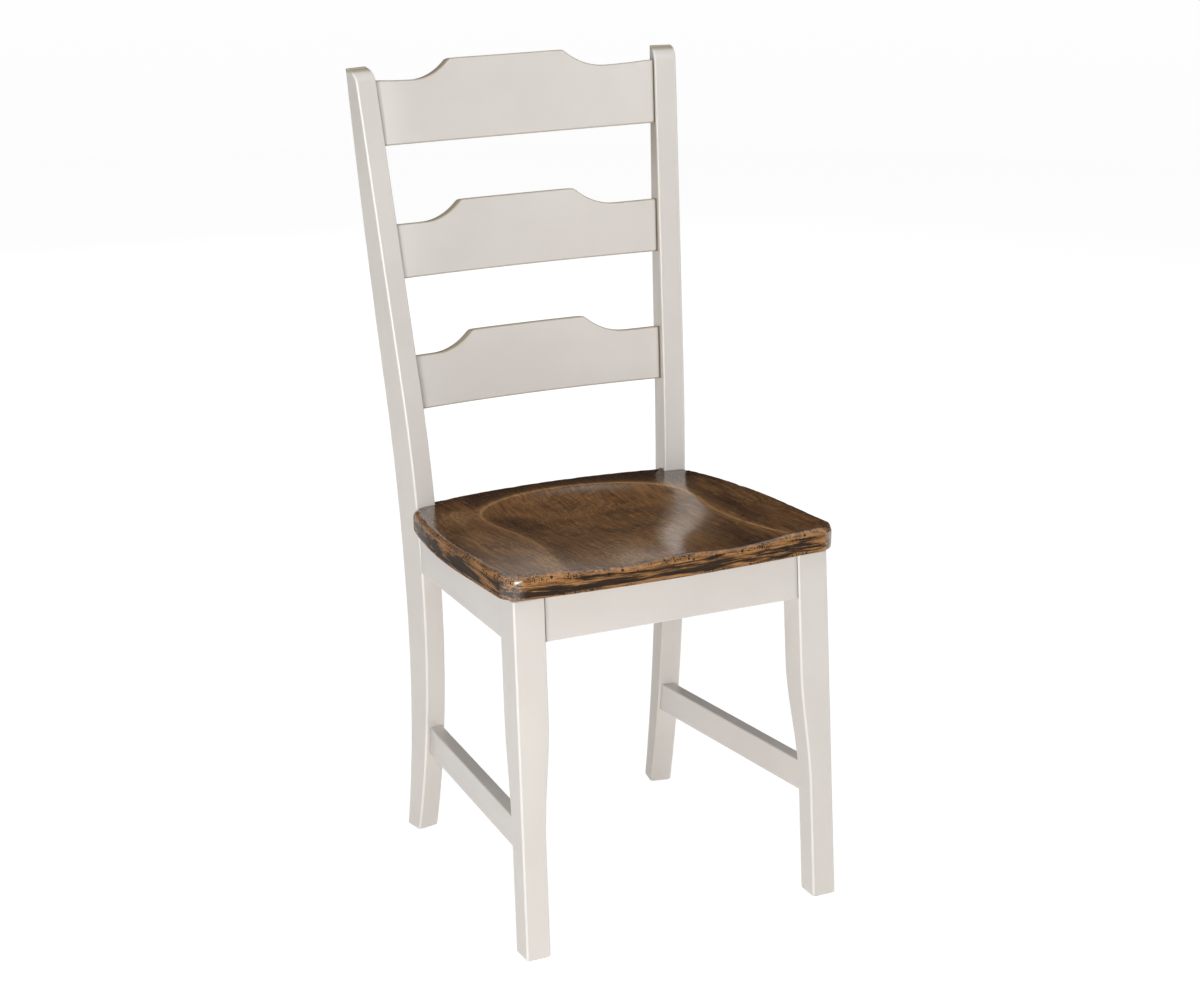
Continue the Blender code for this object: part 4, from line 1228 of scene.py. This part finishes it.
@dataclass
class BackSlat:
    """Bent slat with a raised flat on its top edge and an ogee down to each end."""

    name: str
    bottom: float
    height: float
    end_rise: float
    post: RearPost
    thickness: float = 0.0143
    bend_radius: float = 0.5400
    drop: float = 0.0225
    scoop_radius: float = 0.0720
    scoop_end: float = 0.1280
    scoop_limit: float = 0.9700
    softness: float = 0.0020
    edge: float = 0.0022
    bent_share: float = 0.9700
    count: int = 150
    # Glaze and painted shade on the top edge; painted shade on the lower edge, as if the underside lay in
    # shadow.
    glazed_and_shaded: tuple[tuple[float, float], ...] = ((0.0, 1.0), (1.0, 0.0)) * 2
    # Painted shadow: the left post's cast shadow on the slat's end, darkest at the post and fading out 8 mm
    # along.
    left_end: tuple[tuple[float, float], ...] = (
        (GAP, 1.0), (0.0015, 0.8), (0.0040, 0.6), (0.0065, 0.4), (0.0080, 0.0))
    right_end: tuple[tuple[float, float], ...] = ((GAP, 1.0), (0.0012, 1.0), (0.0028, 0.3), (0.0050, 0.0))
    half_angle: float = field(init=False)
    root: Vector = field(init=False)
    up: Vector = field(init=False)
    back: Vector = field(init=False)

    def __post_init__(self) -> None:
        """Place the slat between the posts."""
        rake = self.post.rake
        self.up = Vector((0.0, sin(rake), cos(rake)))
        self.back = Vector((0.0, cos(rake), -sin(rake)))
        recess = 0.5 * (self.post.depth(self.bottom + 0.5 * self.height) - self.thickness)
        face = self.post.point(self.bottom, self.post.width, recess)
        self.half_angle = asin(face.x / self.bend_radius)
        bow = self.bend_radius * (1.0 - cos(self.half_angle))
        self.root = Vector((0.0, face.y, self.bottom)) + self.back * bow

    def top(self, angle: float) -> float:
        """Find the height of the top edge.

        Args:
            angle: Place along the bend.

        Returns:
            The height above the slat's lower edge.
        """
        distance = abs(self.bend_radius * angle)
        reach = min(max(self.scoop_end - distance, 0.0), self.scoop_limit * self.scoop_radius)
        scooped = self.height - self.drop + self.scoop_radius - sqrt(self.scoop_radius ** 2 - reach ** 2)
        over = scooped - self.height
        blended = 0.5 * (scooped + self.height - sqrt(over * over + self.softness ** 2))
        half_length = self.bend_radius * self.half_angle
        end_share = max(distance - self.scoop_end, 0.0) / (half_length - self.scoop_end)
        return blended + self.end_rise * end_share ** 2

    def section(self, angle: float) -> Ring:
        """Make the outline at one place.

        Args:
            angle: Place along the bend.

        Returns:
            The outline, with glaze and painted shade on its top edge and painted shade on its lower edge.
        """
        high = self.top(angle)
        across = Vector((sin(angle), 0.0, 0.0)) + self.back * cos(angle)
        centre = self.root - self.back * self.bend_radius
        deep = self.thickness
        flat = [Vector(spot) for spot in ((0.0, 0.0), (deep, 0.0), (deep, high), (0.0, high))]
        ring = rounded(flat, self.edge, self.glazed_and_shaded)
        ring.points = [centre + across * (self.bend_radius + point.x) + self.up * point.y
                       for point in ring.points]
        return ring

    def end(self, side: Side, distance: float, joint: float) -> Ring:
        """Carry the section straight on towards a post.

        Args:
            side: Side of the chair.
            distance: Distance from the post's inner face.
            joint: How dark the joint is there, with dirt and painted shadow.

        Returns:
            The outline at that distance.
        """
        angle = side.value * self.bent_share * self.half_angle
        plane = RearPost(side, self.post.shift).inner_plane().moved(distance)
        along = Vector((cos(angle), 0.0, 0.0)) - self.back * sin(angle)
        ring = self.section(angle)
        ring.points = [plane.meet(point, point + along) for point in ring.points]
        ring.joint = joint
        return ring

    def build(self) -> bpy.types.Object:
        """Build the slat from post to post.

        Returns:
            The slat.
        """
        bent = self.bent_share * self.half_angle
        rings = [self.end(Side.LEFT, distance, joint) for distance, joint in self.left_end]
        rings += [self.section(bent * (2.0 * step / self.count - 1.0)) for step in range(self.count + 1)]
        rings += [self.end(Side.RIGHT, distance, joint) for distance, joint in reversed(self.right_end)]
        return close_skin(f"{self.name}_painted", rings)

    def dress(self, paint: Paint) -> None:
        """Build the slat and paint it."""
        dress(self.build(), paint.material(Grain.ACROSS), self.name)


@dataclass
class BackRest:
    """The three slats, placed down from the top of the posts."""

    post: RearPost
    drop: float = 0.0901
    pitch: float = 0.1560
    crest_height: float = 0.0980
    crest_rise: float = 0.0020
    slat_height: float = 0.0870
    slat_rise: float = 0.0004

    def dress(self, paint: Paint) -> None:
        """Build the slats and paint them.

        Args:
            paint: Their finish.
        """
        crest = self.post.height - self.drop
        for step, name in enumerate(("crest_slat", "middle_slat", "lower_slat")):
            sizes = (self.slat_height, self.slat_rise) if step else (self.crest_height, self.crest_rise)
            BackSlat(name, crest - self.pitch * step, *sizes, self.post).dress(paint)


# Seat

@dataclass(frozen=True)
class Cloud:
    """Place on the seat where the stain took lighter (above 0) or darker (below 0)."""

    across: float
    back: float
    wide: float
    deep: float
    tone: float

    def at(self, across: float, back: float) -> float:
        """Return the cloud's tone at one place."""
        gap = ((across - self.across) / self.wide) ** 2 + ((back - self.back) / self.deep) ** 2
        return self.tone * exp(-gap)


@dataclass(frozen=True)
class Knocks:
    """Dents of one size along the seat's edge."""

    waves: float
    rise: float
    depth: float
    sparse: float = 0.0
    offset: float = 0.0

    def at(self, place: Vector) -> float:
        """Return how deep the dents are at one place."""
        spot = Vector((place.x * self.waves, place.y * self.waves, place.z * self.rise + self.offset))
        return self.depth * max(noise.noise(spot) - self.sparse, 0.0)


@dataclass
class SeatSkin:
    """Seat's mesh under work: its rings, the way its edge faces, and the values that its finish reads."""

    outwards: list[Vector]
    work: bmesh.types.BMesh = field(default_factory=bmesh.new)
    rows: list[list[bmesh.types.BMVert]] = field(default_factory=list)
    layers: dict[str, bmesh.types.BMLayerItem] = field(init=False)

    def __post_init__(self) -> None:
        """Make room for the values that the points carry."""
        labels = ("rub", "side", "flank", "corner", "halo", "dish", "tone", "rim", "line")
        self.layers = {label: self.work.verts.layers.float.new(label) for label in labels}

    def point(self, place: Sequence[float], values: dict[str, float]) -> bmesh.types.BMVert:
        """Add a point.

        Args:
            place: Where it is.
            values: What it carries.

        Returns:
            The point.
        """
        vertex = self.work.verts.new(place)
        for label, value in values.items():
            vertex[self.layers[label]] = value
        return vertex


@dataclass
class SeatBoard:
    """Scooped seat board, notched round the posts, its edges eased and worn."""

    leg: FrontLeg
    post: RearPost
    shift: float
    slope: float = 0.0580
    top_slope: float = 0.0630
    thickness: float = 0.0285
    side_overhang: float = 0.0117
    post_reveal: float = 0.0055
    front_overhang: float = 0.0188
    front_bow: float = 0.0090
    corner_radius: float = 0.0270
    corner_ease: float = 0.6500
    widest_at: float = 0.1200
    tongue_behind: float = 0.0160
    tongue_bow: float = 0.0170
    upper_edge: float = 0.0055
    lower_edge: float = 0.0025
    notch_edge: float = 0.0010
    under_inset: float = 2.2
    rear_centre: float = 0.2250
    rear_length: float = 0.0950
    half_width: float = 0.1330
    waist_at: float = 0.1150
    waist_half: float = 0.1220
    front_half: float = 0.1500
    floor_share: float = 0.3500
    depth_rear: float = 0.0100
    depth_front: float = 0.0055
    deepest_at: float = 0.2000
    rim_softness: float = 0.0008
    rim_unit: float = 0.0100
    pommel_half: float = 0.0750
    pommel_length: float = 0.1700
    pommel_share: float = 0.7500
    front_points: int = 80
    corner_points: int = 18
    side_points: int = 90
    notch_points: int = 6
    tongue_points: int = 45
    edge_steps: int = 6
    shells: int = 64
    shells_to_round: int = 16
    rounds: int = 500
    under_rub: float = 0.55
    face_rub: tuple[float, float] = (0.10, 0.50)
    top_rub: tuple[float, float] = (0.60, 0.40)
    flank_turn: float = 1.40
    rubbed_reach: float = 0.0040
    least_worn: float = 0.25
    drop_share: float = 0.60
    halo_share: float = 0.45
    halo_inside: float = 0.0060
    halo_outside: float = 0.0085
    glow_share: float = 0.20
    glow_reach: float = 0.0300
    halo_front: float = 0.55
    halo_front_from: float = 0.0200
    halo_front_length: float = 0.1200
    line_front: float = 0.20
    line_front_from: float = 0.0600
    line_front_length: float = 0.0400
    strip_tone: float = 0.85
    strip_from: float = 1.02
    strip_ease: float = 0.08
    strip_back: float = 0.2550
    strip_length: float = 0.0400
    strip_gap: float = 0.60
    strip_gap_from: float = 0.1000
    strip_gap_length: float = 0.0300
    clouds: tuple[Cloud, ...] = (
        Cloud(-0.020, 0.255, 0.060, 0.030, 0.30), Cloud(-0.098, 0.215, 0.034, 0.060, -0.60),
        Cloud(-0.005, 0.135, 0.080, 0.032, -0.30), Cloud(-0.010, 0.070, 0.060, 0.045, 0.50),
        Cloud(-0.155, 0.262, 0.026, 0.030, 0.80), Cloud(-0.170, 0.150, 0.032, 0.080, 0.55),
        Cloud(-0.142, 0.030, 0.018, 0.045, 0.70), Cloud(0.090, 0.010, 0.045, 0.110, -0.70),
        Cloud(0.150, 0.150, 0.016, 0.120, -0.62), Cloud(0.184, 0.170, 0.012, 0.100, 0.30))
    thighs: tuple[Cloud, ...] = (Cloud(0.060, 0.060, 0.030, 0.050, 0.45),)
    knocks: tuple[Knocks, ...] = (
        Knocks(26.0, 14.0, 0.0003, -1.0, 3.0), Knocks(62.0, 40.0, 0.0026, 0.12), Knocks(150.0, 110.0, 0.0007))

    def reach(self, across: float, back: float) -> float:
        """Find how far out a place lies from the scoop's middle line.

        Args:
            across: Distance from the middle.
            back: Distance behind the legs' front.

        Returns:
            0 on the line, 1 at the scoop's rim.
        """
        if back > self.rear_centre:
            return hypot(across / self.half_width, (back - self.rear_centre) / self.rear_length)
        if back > self.waist_at:
            share = ease((back - self.waist_at) / (self.rear_centre - self.waist_at))
            width = self.waist_half + (self.half_width - self.waist_half) * share
        else:
            share = ((self.waist_at - back) / (self.waist_at + self.front_overhang)) ** 2
            width = self.waist_half + (self.front_half - self.waist_half) * share
        return abs(across) / width

    def dish(self, across: float, back: float) -> float:
        """Find the depth of the scoop: a bowl at the rear, two thigh hollows beside a pommel in front.

        Args:
            across: Distance from the middle.
            back: Distance behind the legs' front.

        Returns:
            The depth below the flat top.
        """
        bank = max(self.reach(across, back) - self.floor_share, 0.0) / (1.0 - self.floor_share)
        floor = self.depth_front + (self.depth_rear - self.depth_front) * ease(back / self.deepest_at)
        ridge = self.pommel_share * ease(1.0 - abs(across) / self.pommel_half)
        ridge *= 1.0 - ease((back + self.front_overhang) / self.pommel_length)
        depth = floor * (1.0 - bank * bank) * (1.0 - ridge)
        return 0.5 * (depth + sqrt(depth * depth + self.rim_softness ** 2)) if bank < 2.0 else 0.0

    def underside(self, back: float) -> float:
        """Return the height of the underside."""
        return self.leg.height - self.slope * back

    def top(self, across: float, back: float) -> float:
        """Return the height of the sitting surface."""
        return self.leg.height + self.thickness - self.top_slope * back - self.dish(across, back)

    def side_x(self, back: float) -> float:
        """Find the half width.

        Args:
            back: Distance behind the legs' front.

        Returns:
            The half width there.
        """
        share = max(back - self.widest_at, 0.0) / (self.post.setback - self.widest_at)
        widest = 0.5 * self.leg.spread_top + self.side_overhang
        return widest - (widest - 0.5 * self.post.spread - self.post_reveal) * share ** 2

    def half_outline(self, height: float) -> Outline:
        """Trace the right half of the outline at one height, front middle to rear middle.

        Args:
            height: Height at which the posts are notched.

        Returns:
            Points with the radius of the edge at each, measured from the legs' front.
        """
        corner_x = 0.5 * self.leg.spread_top + self.side_overhang - self.corner_radius
        corner_y = self.front_bow + self.corner_radius - self.front_overhang
        points = [(corner_x * step / self.front_points,
                   self.front_bow * (step / self.front_points) ** 2 - self.front_overhang, self.upper_edge)
                  for step in range(self.front_points)]
        for step in range(self.corner_points + 1):
            turn = 0.5 * pi * step / self.corner_points
            points.append((corner_x + self.corner_radius * sin(turn),
                           corner_y - self.corner_radius * cos(turn), self.upper_edge))
        down = Vector((0.0, -self.shift, 0.0))
        flush = self.post.point(height, 0.0, -GAP) + down
        for step in range(1, self.side_points):
            back = corner_y + (flush.y - corner_y) * step / self.side_points
            points.append((self.side_x(back), back, self.upper_edge))
        wide = self.post.width + GAP
        spots = [(self.upper_edge + (wide - self.upper_edge) * step / self.notch_points, -GAP)
                 for step in range(self.notch_points + 1)]
        spots += [(wide, self.tongue_behind * step / self.notch_points)
                  for step in range(1, self.notch_points + 1)]
        for across, behind in spots:
            place = self.post.point(height, across, behind) + down
            points.append((place.x, place.y, self.notch_edge))
        tongue = self.post.point(height, wide, self.tongue_behind) + down
        for step in range(1, self.tongue_points + 1):
            across = tongue.x * (1.0 - step / self.tongue_points)
            back = tongue.y + self.tongue_bow * (1.0 - (across / tongue.x) ** 2)
            points.append((across, back, self.upper_edge))
        return points

    def outline(self, height: float) -> Outline:
        """Return the whole outline at one height."""
        half = self.half_outline(height)
        return half + [(-across, back, edge) for across, back, edge in reversed(half[1:-1])]

    @staticmethod
    def inset(outline: Outline, share: float) -> Outline:
        """Move an outline inwards.

        Args:
            outline: Points with the radius of the edge at each.
            share: How much of that radius each point moves.

        Returns:
            The moved points.
        """
        moved = []
        for index, (across, back, edge) in enumerate(outline):
            last, following = outline[index - 1], outline[(index + 1) % len(outline)]
            first = Vector((across - last[0], back - last[1])).normalized()
            second = Vector((following[0] - across, following[1] - back)).normalized()
            inward = Vector((-(first.y + second.y), first.x + second.x)).normalized()
            travel = edge * share / max(inward.dot(Vector((-second.y, second.x))), 0.5)
            moved.append((across + inward.x * travel, back + inward.y * travel, edge))
        return moved

    def outwards(self, outline: Outline) -> list[Vector]:
        """Find the direction that the edge faces at each point.

        Args:
            outline: Points with the radius of the edge at each.

        Returns:
            The directions; none in the notches.
        """
        found = []
        for index, (across, back, edge) in enumerate(outline):
            last, following = outline[index - 1], outline[(index + 1) % len(outline)]
            along = Vector((following[0] - last[0], following[1] - last[1], 0.0)).normalized()
            found.append(Vector((along.y, -along.x, 0.0)) if edge > self.notch_edge else Vector())
        return found

    @staticmethod
    def cornered(outward: Vector) -> float:
        """Return 1 where the edge faces diagonally, as at the front corners, and 0 on straight sides."""
        return ease(2.5 * abs(outward.x * outward.y) - 0.2)

    @staticmethod
    def relaxed(outline: Sequence[Vector], rounds: int) -> list[Vector]:
        """Smooth an outline, so that the rings inside it lose its corners and notches.

        Args:
            outline: Points of a closed outline.
            rounds: How often each point moves towards its neighbours.

        Returns:
            The smoothed points.
        """
        points = list(outline)
        for _ in range(rounds):
            after, before = points[1:] + points[:1], points[-1:] + points[:-1]
            points = [point * 0.5 + (first + second) * 0.25
                      for first, point, second in zip(before, points, after)]
        return points

    def worn(self, place: Vector, outward: Vector, amount: float) -> Vector:
        """Pull a point of the edge inwards, as old knocks and rubbing have.

        Args:
            place: The point.
            outward: Direction that the edge faces.
            amount: How exposed the point is, 1 at the upper corner.

        Returns:
            The worn point.
        """
        depth = sum(knocks.at(place) for knocks in self.knocks)
        pulled = place - outward * depth * max(amount, self.least_worn)
        return pulled - Vector((0.0, 0.0, self.drop_share * depth * max(amount - self.top_rub[0], 0.0)))

    def tone(self, across: float, back: float) -> float:
        """Find how much lighter or darker the stain is: clouds, and a dark strip behind the scoop.

        Args:
            across: Distance from the middle.
            back: Distance behind the legs' front.

        Returns:
            The tone, 0 for the plain stain.
        """
        behind = ease((self.reach(across, back) - self.strip_from) / self.strip_ease)
        behind *= ease((back - self.strip_back) / self.strip_length)
        kept = 1.0 - self.strip_gap * ease((-across - self.strip_gap_from) / self.strip_gap_length)
        return sum(cloud.at(across, back) for cloud in self.clouds) - self.strip_tone * behind * kept

    def halo(self, across: float, back: float) -> float:
        """Find how pale the stain is: a line along the scoop's rim that spreads outwards.

        Args:
            across: Distance from the middle.
            back: Distance behind the legs' front.

        Returns:
            0 for full stain, 1 for the lightest.
        """
        gap = (self.reach(across, back) - 1.0) * self.half_width
        ring = self.halo_share * exp(-(gap / (self.halo_inside if gap < 0.0 else self.halo_outside)) ** 2)
        if gap > 0.0:
            ring += self.glow_share * exp(-(gap / self.glow_reach) ** 2)
        behind = ease((back - self.halo_front_from) / self.halo_front_length)
        ring *= self.halo_front + (1.0 - self.halo_front) * behind
        return min(1.0, ring + sum(thigh.at(abs(across), back) for thigh in self.thighs))

    def drawing(self, across: float, back: float) -> dict[str, float]:
        """Work out what the finish of the sitting surface reads at one place.

        Args:
            across: Distance from the middle.
            back: Distance behind the legs' front.

        Returns:
            The values by name.
        """
        reach = self.reach(across, back)
        gap = (reach - 1.0) * self.half_width / self.rim_unit
        behind = ease((back - self.line_front_from) / self.line_front_length)
        line = 1.0 if across > 0.0 else self.line_front + (1.0 - self.line_front) * behind
        return {"halo": self.halo(across, back), "dish": ease(1.5 - reach), "tone": self.tone(across, back),
                "rim": min(max(gap, -2.0), 2.0), "line": line}

    def add_ring(self, skin: SeatSkin, points: Iterable[tuple[Vector, float, float]],
                 drawn: bool = True) -> None:
        """Add a ring of points to the skin.

        Args:
            skin: The skin under work.
            points: Place of each, how rubbed it is and how much it belongs to the flank.
            drawn: Whether the drawing of the sitting surface reaches it.
        """
        row = []
        for (place, rub, side), outward in zip(points, skin.outwards):
            bent = self.worn(place, outward, rub) if outward.length > 0.5 and rub > 0.0 else place
            values = {"rub": rub, "side": side, "flank": ease(abs(outward.x) * 1.6 - 0.4),
                      "corner": self.cornered(outward)}
            if drawn:
                values |= self.drawing(place.x, place.y)
            row.append(skin.point((bent.x, bent.y + self.shift, bent.z), values))
        skin.rows.append(row)

    def edge_rings(self, skin: SeatSkin, lower: Outline, upper: Outline) -> None:
        """Add the rings from the underside round the edge to the sitting surface.

        Args:
            skin: The skin under work.
            lower: Outline of the underside.
            upper: Outline of the top.
        """
        turns = [0.5 * pi * step / self.edge_steps for step in range(self.edge_steps + 1)]
        under = self.inset(lower, self.under_inset)
        self.add_ring(skin, [(Vector((x, y, self.underside(y))), 0.0, 0.0) for x, y, edge in under], False)
        for turn in turns:
            ring, lift = self.inset(lower, 1.0 - sin(turn)), 1.0 - cos(turn)
            rub = self.under_rub * sin(turn)
            self.add_ring(skin, [(Vector((x, y, self.underside(y) + edge * lift)), rub, 1.0)
                                 for x, y, edge in ring])
        bottoms = [vertex.co.z for vertex in skin.rows[-1]]
        tops = [self.top(x, y) - edge for x, y, edge in upper]
        for step in range(1, self.edge_steps):
            share = step / self.edge_steps
            places = [Vector((low[0], low[1], bottom)).lerp(Vector((high[0], high[1], top)), share)
                      for low, high, bottom, top in zip(lower, upper, bottoms, tops)]
            rub = self.face_rub[0] + self.face_rub[1] * share ** 3
            self.add_ring(skin, [(place, rub, 1.0) for place in places])
        for turn in turns:
            ring, drop = self.inset(upper, 1.0 - cos(turn)), 1.0 - sin(turn)
            rub = self.top_rub[0] + self.top_rub[1] * sin(2.0 * turn)
            side = 1.0 - ease(turn / self.flank_turn)
            self.add_ring(skin, [(Vector((x, y, self.top(x, y) - edge * drop)), rub, side)
                                 for x, y, edge in ring])

    def build(self) -> bpy.types.Object:
        """Build the board as rings from the underside, over the edge and in to the middle.

        Returns:
            The board.
        """
        level = self.underside(self.post.setback)
        lower = [(across, back, min(edge, self.lower_edge)) for across, back, edge in self.outline(level)]
        square = self.outline(level + self.thickness)
        skin = SeatSkin(self.outwards(square))
        upper = [(across, back, edge * (1.0 + self.corner_ease * self.cornered(outward)))
                 for (across, back, edge), outward in zip(square, skin.outwards)]
        self.edge_rings(skin, lower, upper)
        middle = 0.5 * (self.post.setback - self.front_overhang)
        rim = [Vector((x, y - middle)) for x, y, edge in self.inset(upper, 1.0)]
        round_rim = self.relaxed(rim, self.rounds)
        for step in range(1, self.shells):
            inner = step / self.shells
            rub = self.top_rub[0] * exp(-(inner * 0.5 * self.post.setback / self.rubbed_reach) ** 2)
            smooth = ease(step / self.shells_to_round)
            places = [first.lerp(second, smooth) * (1.0 - inner) for first, second in zip(rim, round_rim)]
            self.add_ring(skin, [(Vector((x, middle + y, self.top(x, middle + y))), rub, 0.0)
                                 for x, y in places])
        bridge(skin.work, skin.rows)
        skin.work.faces.new(list(reversed(skin.rows[0])))
        peak = skin.point((0.0, middle + self.shift, self.top(0.0, middle)), {"dish": 1.0})
        for index, vertex in enumerate(skin.rows[-1]):
            skin.work.faces.new((vertex, skin.rows[-1][(index + 1) % len(skin.rows[-1])], peak))
        return smooth_piece("seat_board_stained", skin.work, False)

    def dress(self, stain: SeatStain) -> None:
        """Build the board and stain it."""
        dress(self.build(), stain.material(), "seat_board")


# Hardware and hidden parts

@dataclass
class Hardware:
    """Corner blocks, screws and glides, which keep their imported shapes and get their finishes."""

    raw_wood: RawWood = RawWood()
    zinc: Mottled = ZINC
    nylon: Mottled = NYLON

    def dress(self, nodes: dict[str, bpy.types.Object]) -> None:
        """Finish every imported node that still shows.

        Args:
            nodes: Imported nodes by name.
        """
        zinc = self.zinc.material()
        finishes = {"corner_block": self.raw_wood.material(), "seat_screw": zinc, "block_screw": zinc,
                    "glide": self.nylon.material()}
        for name, node in sorted(nodes.items()):
            for stem, finish in finishes.items():
                if name.startswith(stem):
                    node.data.materials.clear()
                    node.data.materials.append(finish)
                    LOG.info("%s: packed shape, finished", name)


# Studio

@dataclass(frozen=True)
class Softbox:
    """Soft lamp: where it hangs round the chair's front towards its right, and what it gives."""

    name: str
    azimuth: float
    elevation: float
    distance: float
    size: tuple[float, float]
    power: float
    mirrored: bool = True
    aim: tuple[float, float, float] = (0.0, 0.0, 0.45)

    def hang(self) -> None:
        """Hang the lamp, its face to the chair; some don't show in glossy surfaces."""
        light = bpy.data.lights.new(self.name, "AREA")
        light.shape = "RECTANGLE"
        light.size, light.size_y = self.size
        light.energy = self.power
        lamp = bpy.data.objects.new(self.name, light)
        lamp.visible_glossy = self.mirrored
        bpy.context.scene.collection.objects.link(lamp)
        turn, rise = radians(self.azimuth), radians(self.elevation)
        way = Vector((sin(turn) * cos(rise), -cos(turn) * cos(rise), sin(rise)))
        facing = way.to_track_quat("Z", "Y").to_matrix().to_4x4()
        lamp.matrix_world = Matrix.Translation(Vector(self.aim) + way * self.distance) @ facing


@dataclass
class Studio:
    """Camera at the photograph's angle, soft lamps, plain world and pale floor."""

    shift: float
    place: tuple[float, float, float] = (-1.35924, -2.56658, 1.47311)
    yaw: float = radians(-26.2435)
    pitch: float = radians(-18.2751)
    roll: float = radians(0.1843)
    lens: float = 81.84
    sensor: float = 36.0
    view_end: float = 200.0
    floor_half: float = 40.0
    floor_colour: Colour = (0.120, 0.120, 0.120)
    floor_bounce: Colour = (0.840, 0.790, 0.740)
    floor_glow: float = 0.96
    floor_fill: float = 0.13
    world_level: float = 0.06
    world_seen: float = 0.975
    curtain_radius: float = 4.6
    curtain_height: float = 4.2
    curtain_facets: int = 64
    curtain_colour: Colour = (0.050, 0.050, 0.052)
    lamps: tuple[Softbox, ...] = (
        Softbox("key_softbox", -35.0, 8.0, 3.2, (1.5, 2.1), 46.0),
        Softbox("kicker", -38.0, 8.0, 3.0, (0.6, 1.0), 30.0),
        Softbox("left_softbox", -98.0, 22.0, 2.8, (1.2, 2.2), 3.0),
        Softbox("top_softbox", -20.0, 76.0, 2.6, (1.6, 1.6), 28.0, False),
        Softbox("back_softbox", 172.0, 20.0, 3.2, (2.0, 1.9), 34.0, False),
        Softbox("right_softbox", 64.0, 10.0, 3.2, (0.8, 1.8), 17.0),
        Softbox("side_softbox", 112.0, 20.0, 3.0, (1.4, 1.8), 14.0, False))

    def camera(self) -> None:
        """Create the camera and make it the scene's."""
        lens = bpy.data.cameras.new("camera")
        lens.sensor_width = self.sensor
        lens.lens = self.lens
        lens.clip_end = self.view_end
        camera = bpy.data.objects.new("camera", lens)
        bpy.context.scene.collection.objects.link(camera)
        turns = ((self.yaw, "Z"), (0.5 * pi + self.pitch, "X"), (self.roll, "Z"))
        camera.matrix_world = Matrix.Translation(Vector(self.place) + Vector((0.0, self.shift, 0.0)))
        for turn, axis in turns:
            camera.matrix_world = camera.matrix_world @ Matrix.Rotation(turn, 4, axis)
        bpy.context.scene.camera = camera

    @staticmethod
    def seen(net: Net) -> Output:
        """Mark the rays that show the background.

        Args:
            net: Nodes of a material or of the world.

        Returns:
            1 for camera, glossy and transmission rays, and 0 for the others.
        """
        path = net.add("ShaderNodeLightPath")
        camera, glossy, through = (Output(net, path.outputs[f"Is {kind} Ray"])
                                   for kind in ("Camera", "Glossy", "Transmission"))
        return net.math("MAXIMUM", camera, net.math("MAXIMUM", glossy, through))

    def floor(self) -> None:
        """Lay the floor: pale, keeping the chair's soft shadow, white to the camera and clear from below."""
        work = bmesh.new()
        corners = ((-1.0, -1.0), (1.0, -1.0), (1.0, 1.0), (-1.0, 1.0))
        work.faces.new([work.verts.new((x * self.floor_half, y * self.floor_half, 0.0)) for x, y in corners])
        floor = linked("floor", work)
        made, net = start_material("floor_white")
        seen = self.seen(net)
        matt = net.surface({"Base Color": net.mix(seen, self.floor_bounce, self.floor_colour),
                            "Roughness": 0.9, "Specular IOR Level": 0.1})
        shine = {"Color": net.mix(seen, self.floor_bounce, WHITE),
                 "Strength": net.blend(seen, self.floor_fill, self.floor_glow)}
        above = net.out("ShaderNodeAddShader", 0, {0: matt, 1: net.out("ShaderNodeEmission", 0, shine)})
        below = net.out("ShaderNodeBsdfTransparent", 0)
        side = net.out("ShaderNodeNewGeometry", "Backfacing")
        result = net.out("ShaderNodeMixShader", 0, {0: side, 1: above, 2: below})
        net.fill(made.node_tree.nodes["Material Output"], {"Surface": result})
        floor.data.materials.append(made)

    def curtain(self) -> None:
        """Hang a dark curtain round the set, outside the picture, as is done round satin wood."""
        work = bmesh.new()
        turns = [2.0 * pi * index / self.curtain_facets for index in range(self.curtain_facets)]
        ring = [(self.curtain_radius * cos(turn), self.curtain_radius * sin(turn)) for turn in turns]
        bridge(work, [[work.verts.new((x, y, level)) for x, y in ring]
                      for level in (0.0, self.curtain_height)])
        curtain = linked("curtain", work)
        made, net = start_material("curtain_dark")
        net.surface({"Base Color": self.curtain_colour, "Roughness": 1.0, "Specular IOR Level": 0.0})
        curtain.data.materials.append(made)
        curtain.visible_camera = False

    def world(self) -> None:
        """Fill the world: a white background that lights the chair at a plain, low level."""
        world = bpy.data.worlds.new("studio")
        bpy.context.scene.world = world
        world.use_nodes = True
        net = Net(world.node_tree)
        level = net.blend(self.seen(net), self.world_level, self.world_seen)
        net.fill(world.node_tree.nodes["Background"], {"Color": WHITE, "Strength": level})

    def build(self) -> None:
        """Set up the whole studio."""
        self.camera()
        for lamp in self.lamps:
            lamp.hang()
        self.floor()
        self.curtain()
        self.world()
        bpy.context.scene.view_settings.view_transform = "Standard"


def foot_shift() -> float:
    """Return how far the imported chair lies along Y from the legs' front at the seat."""
    leg = FrontLeg(Side.LEFT, 0.0)
    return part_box("front_leg_left")[0].y - leg.face_y(leg.lift + leg.edge)


def main() -> None:
    """Build the chair's looks piece by piece, then the studio."""
    logging.basicConfig(level=logging.INFO, format="%(name)s: %(message)s")
    shift = foot_shift()
    legs = {side: FrontLeg(side, shift) for side in Side}
    posts = {side: RearPost(side, shift) for side in Side}
    rails = RailSet(legs, posts, shift)
    paint = Paint()
    for side in Side:
        legs[side].dress(rails.seat_slope, paint)
        posts[side].dress(paint)
    rails.dress(paint)
    BackRest(posts[Side.RIGHT]).dress(paint)
    SeatBoard(legs[Side.RIGHT], posts[Side.RIGHT], shift).dress(SeatStain())
    Hardware().dress(frame["nodes"])
    Studio(shift).build()


if __name__ == "__main__":
    main()
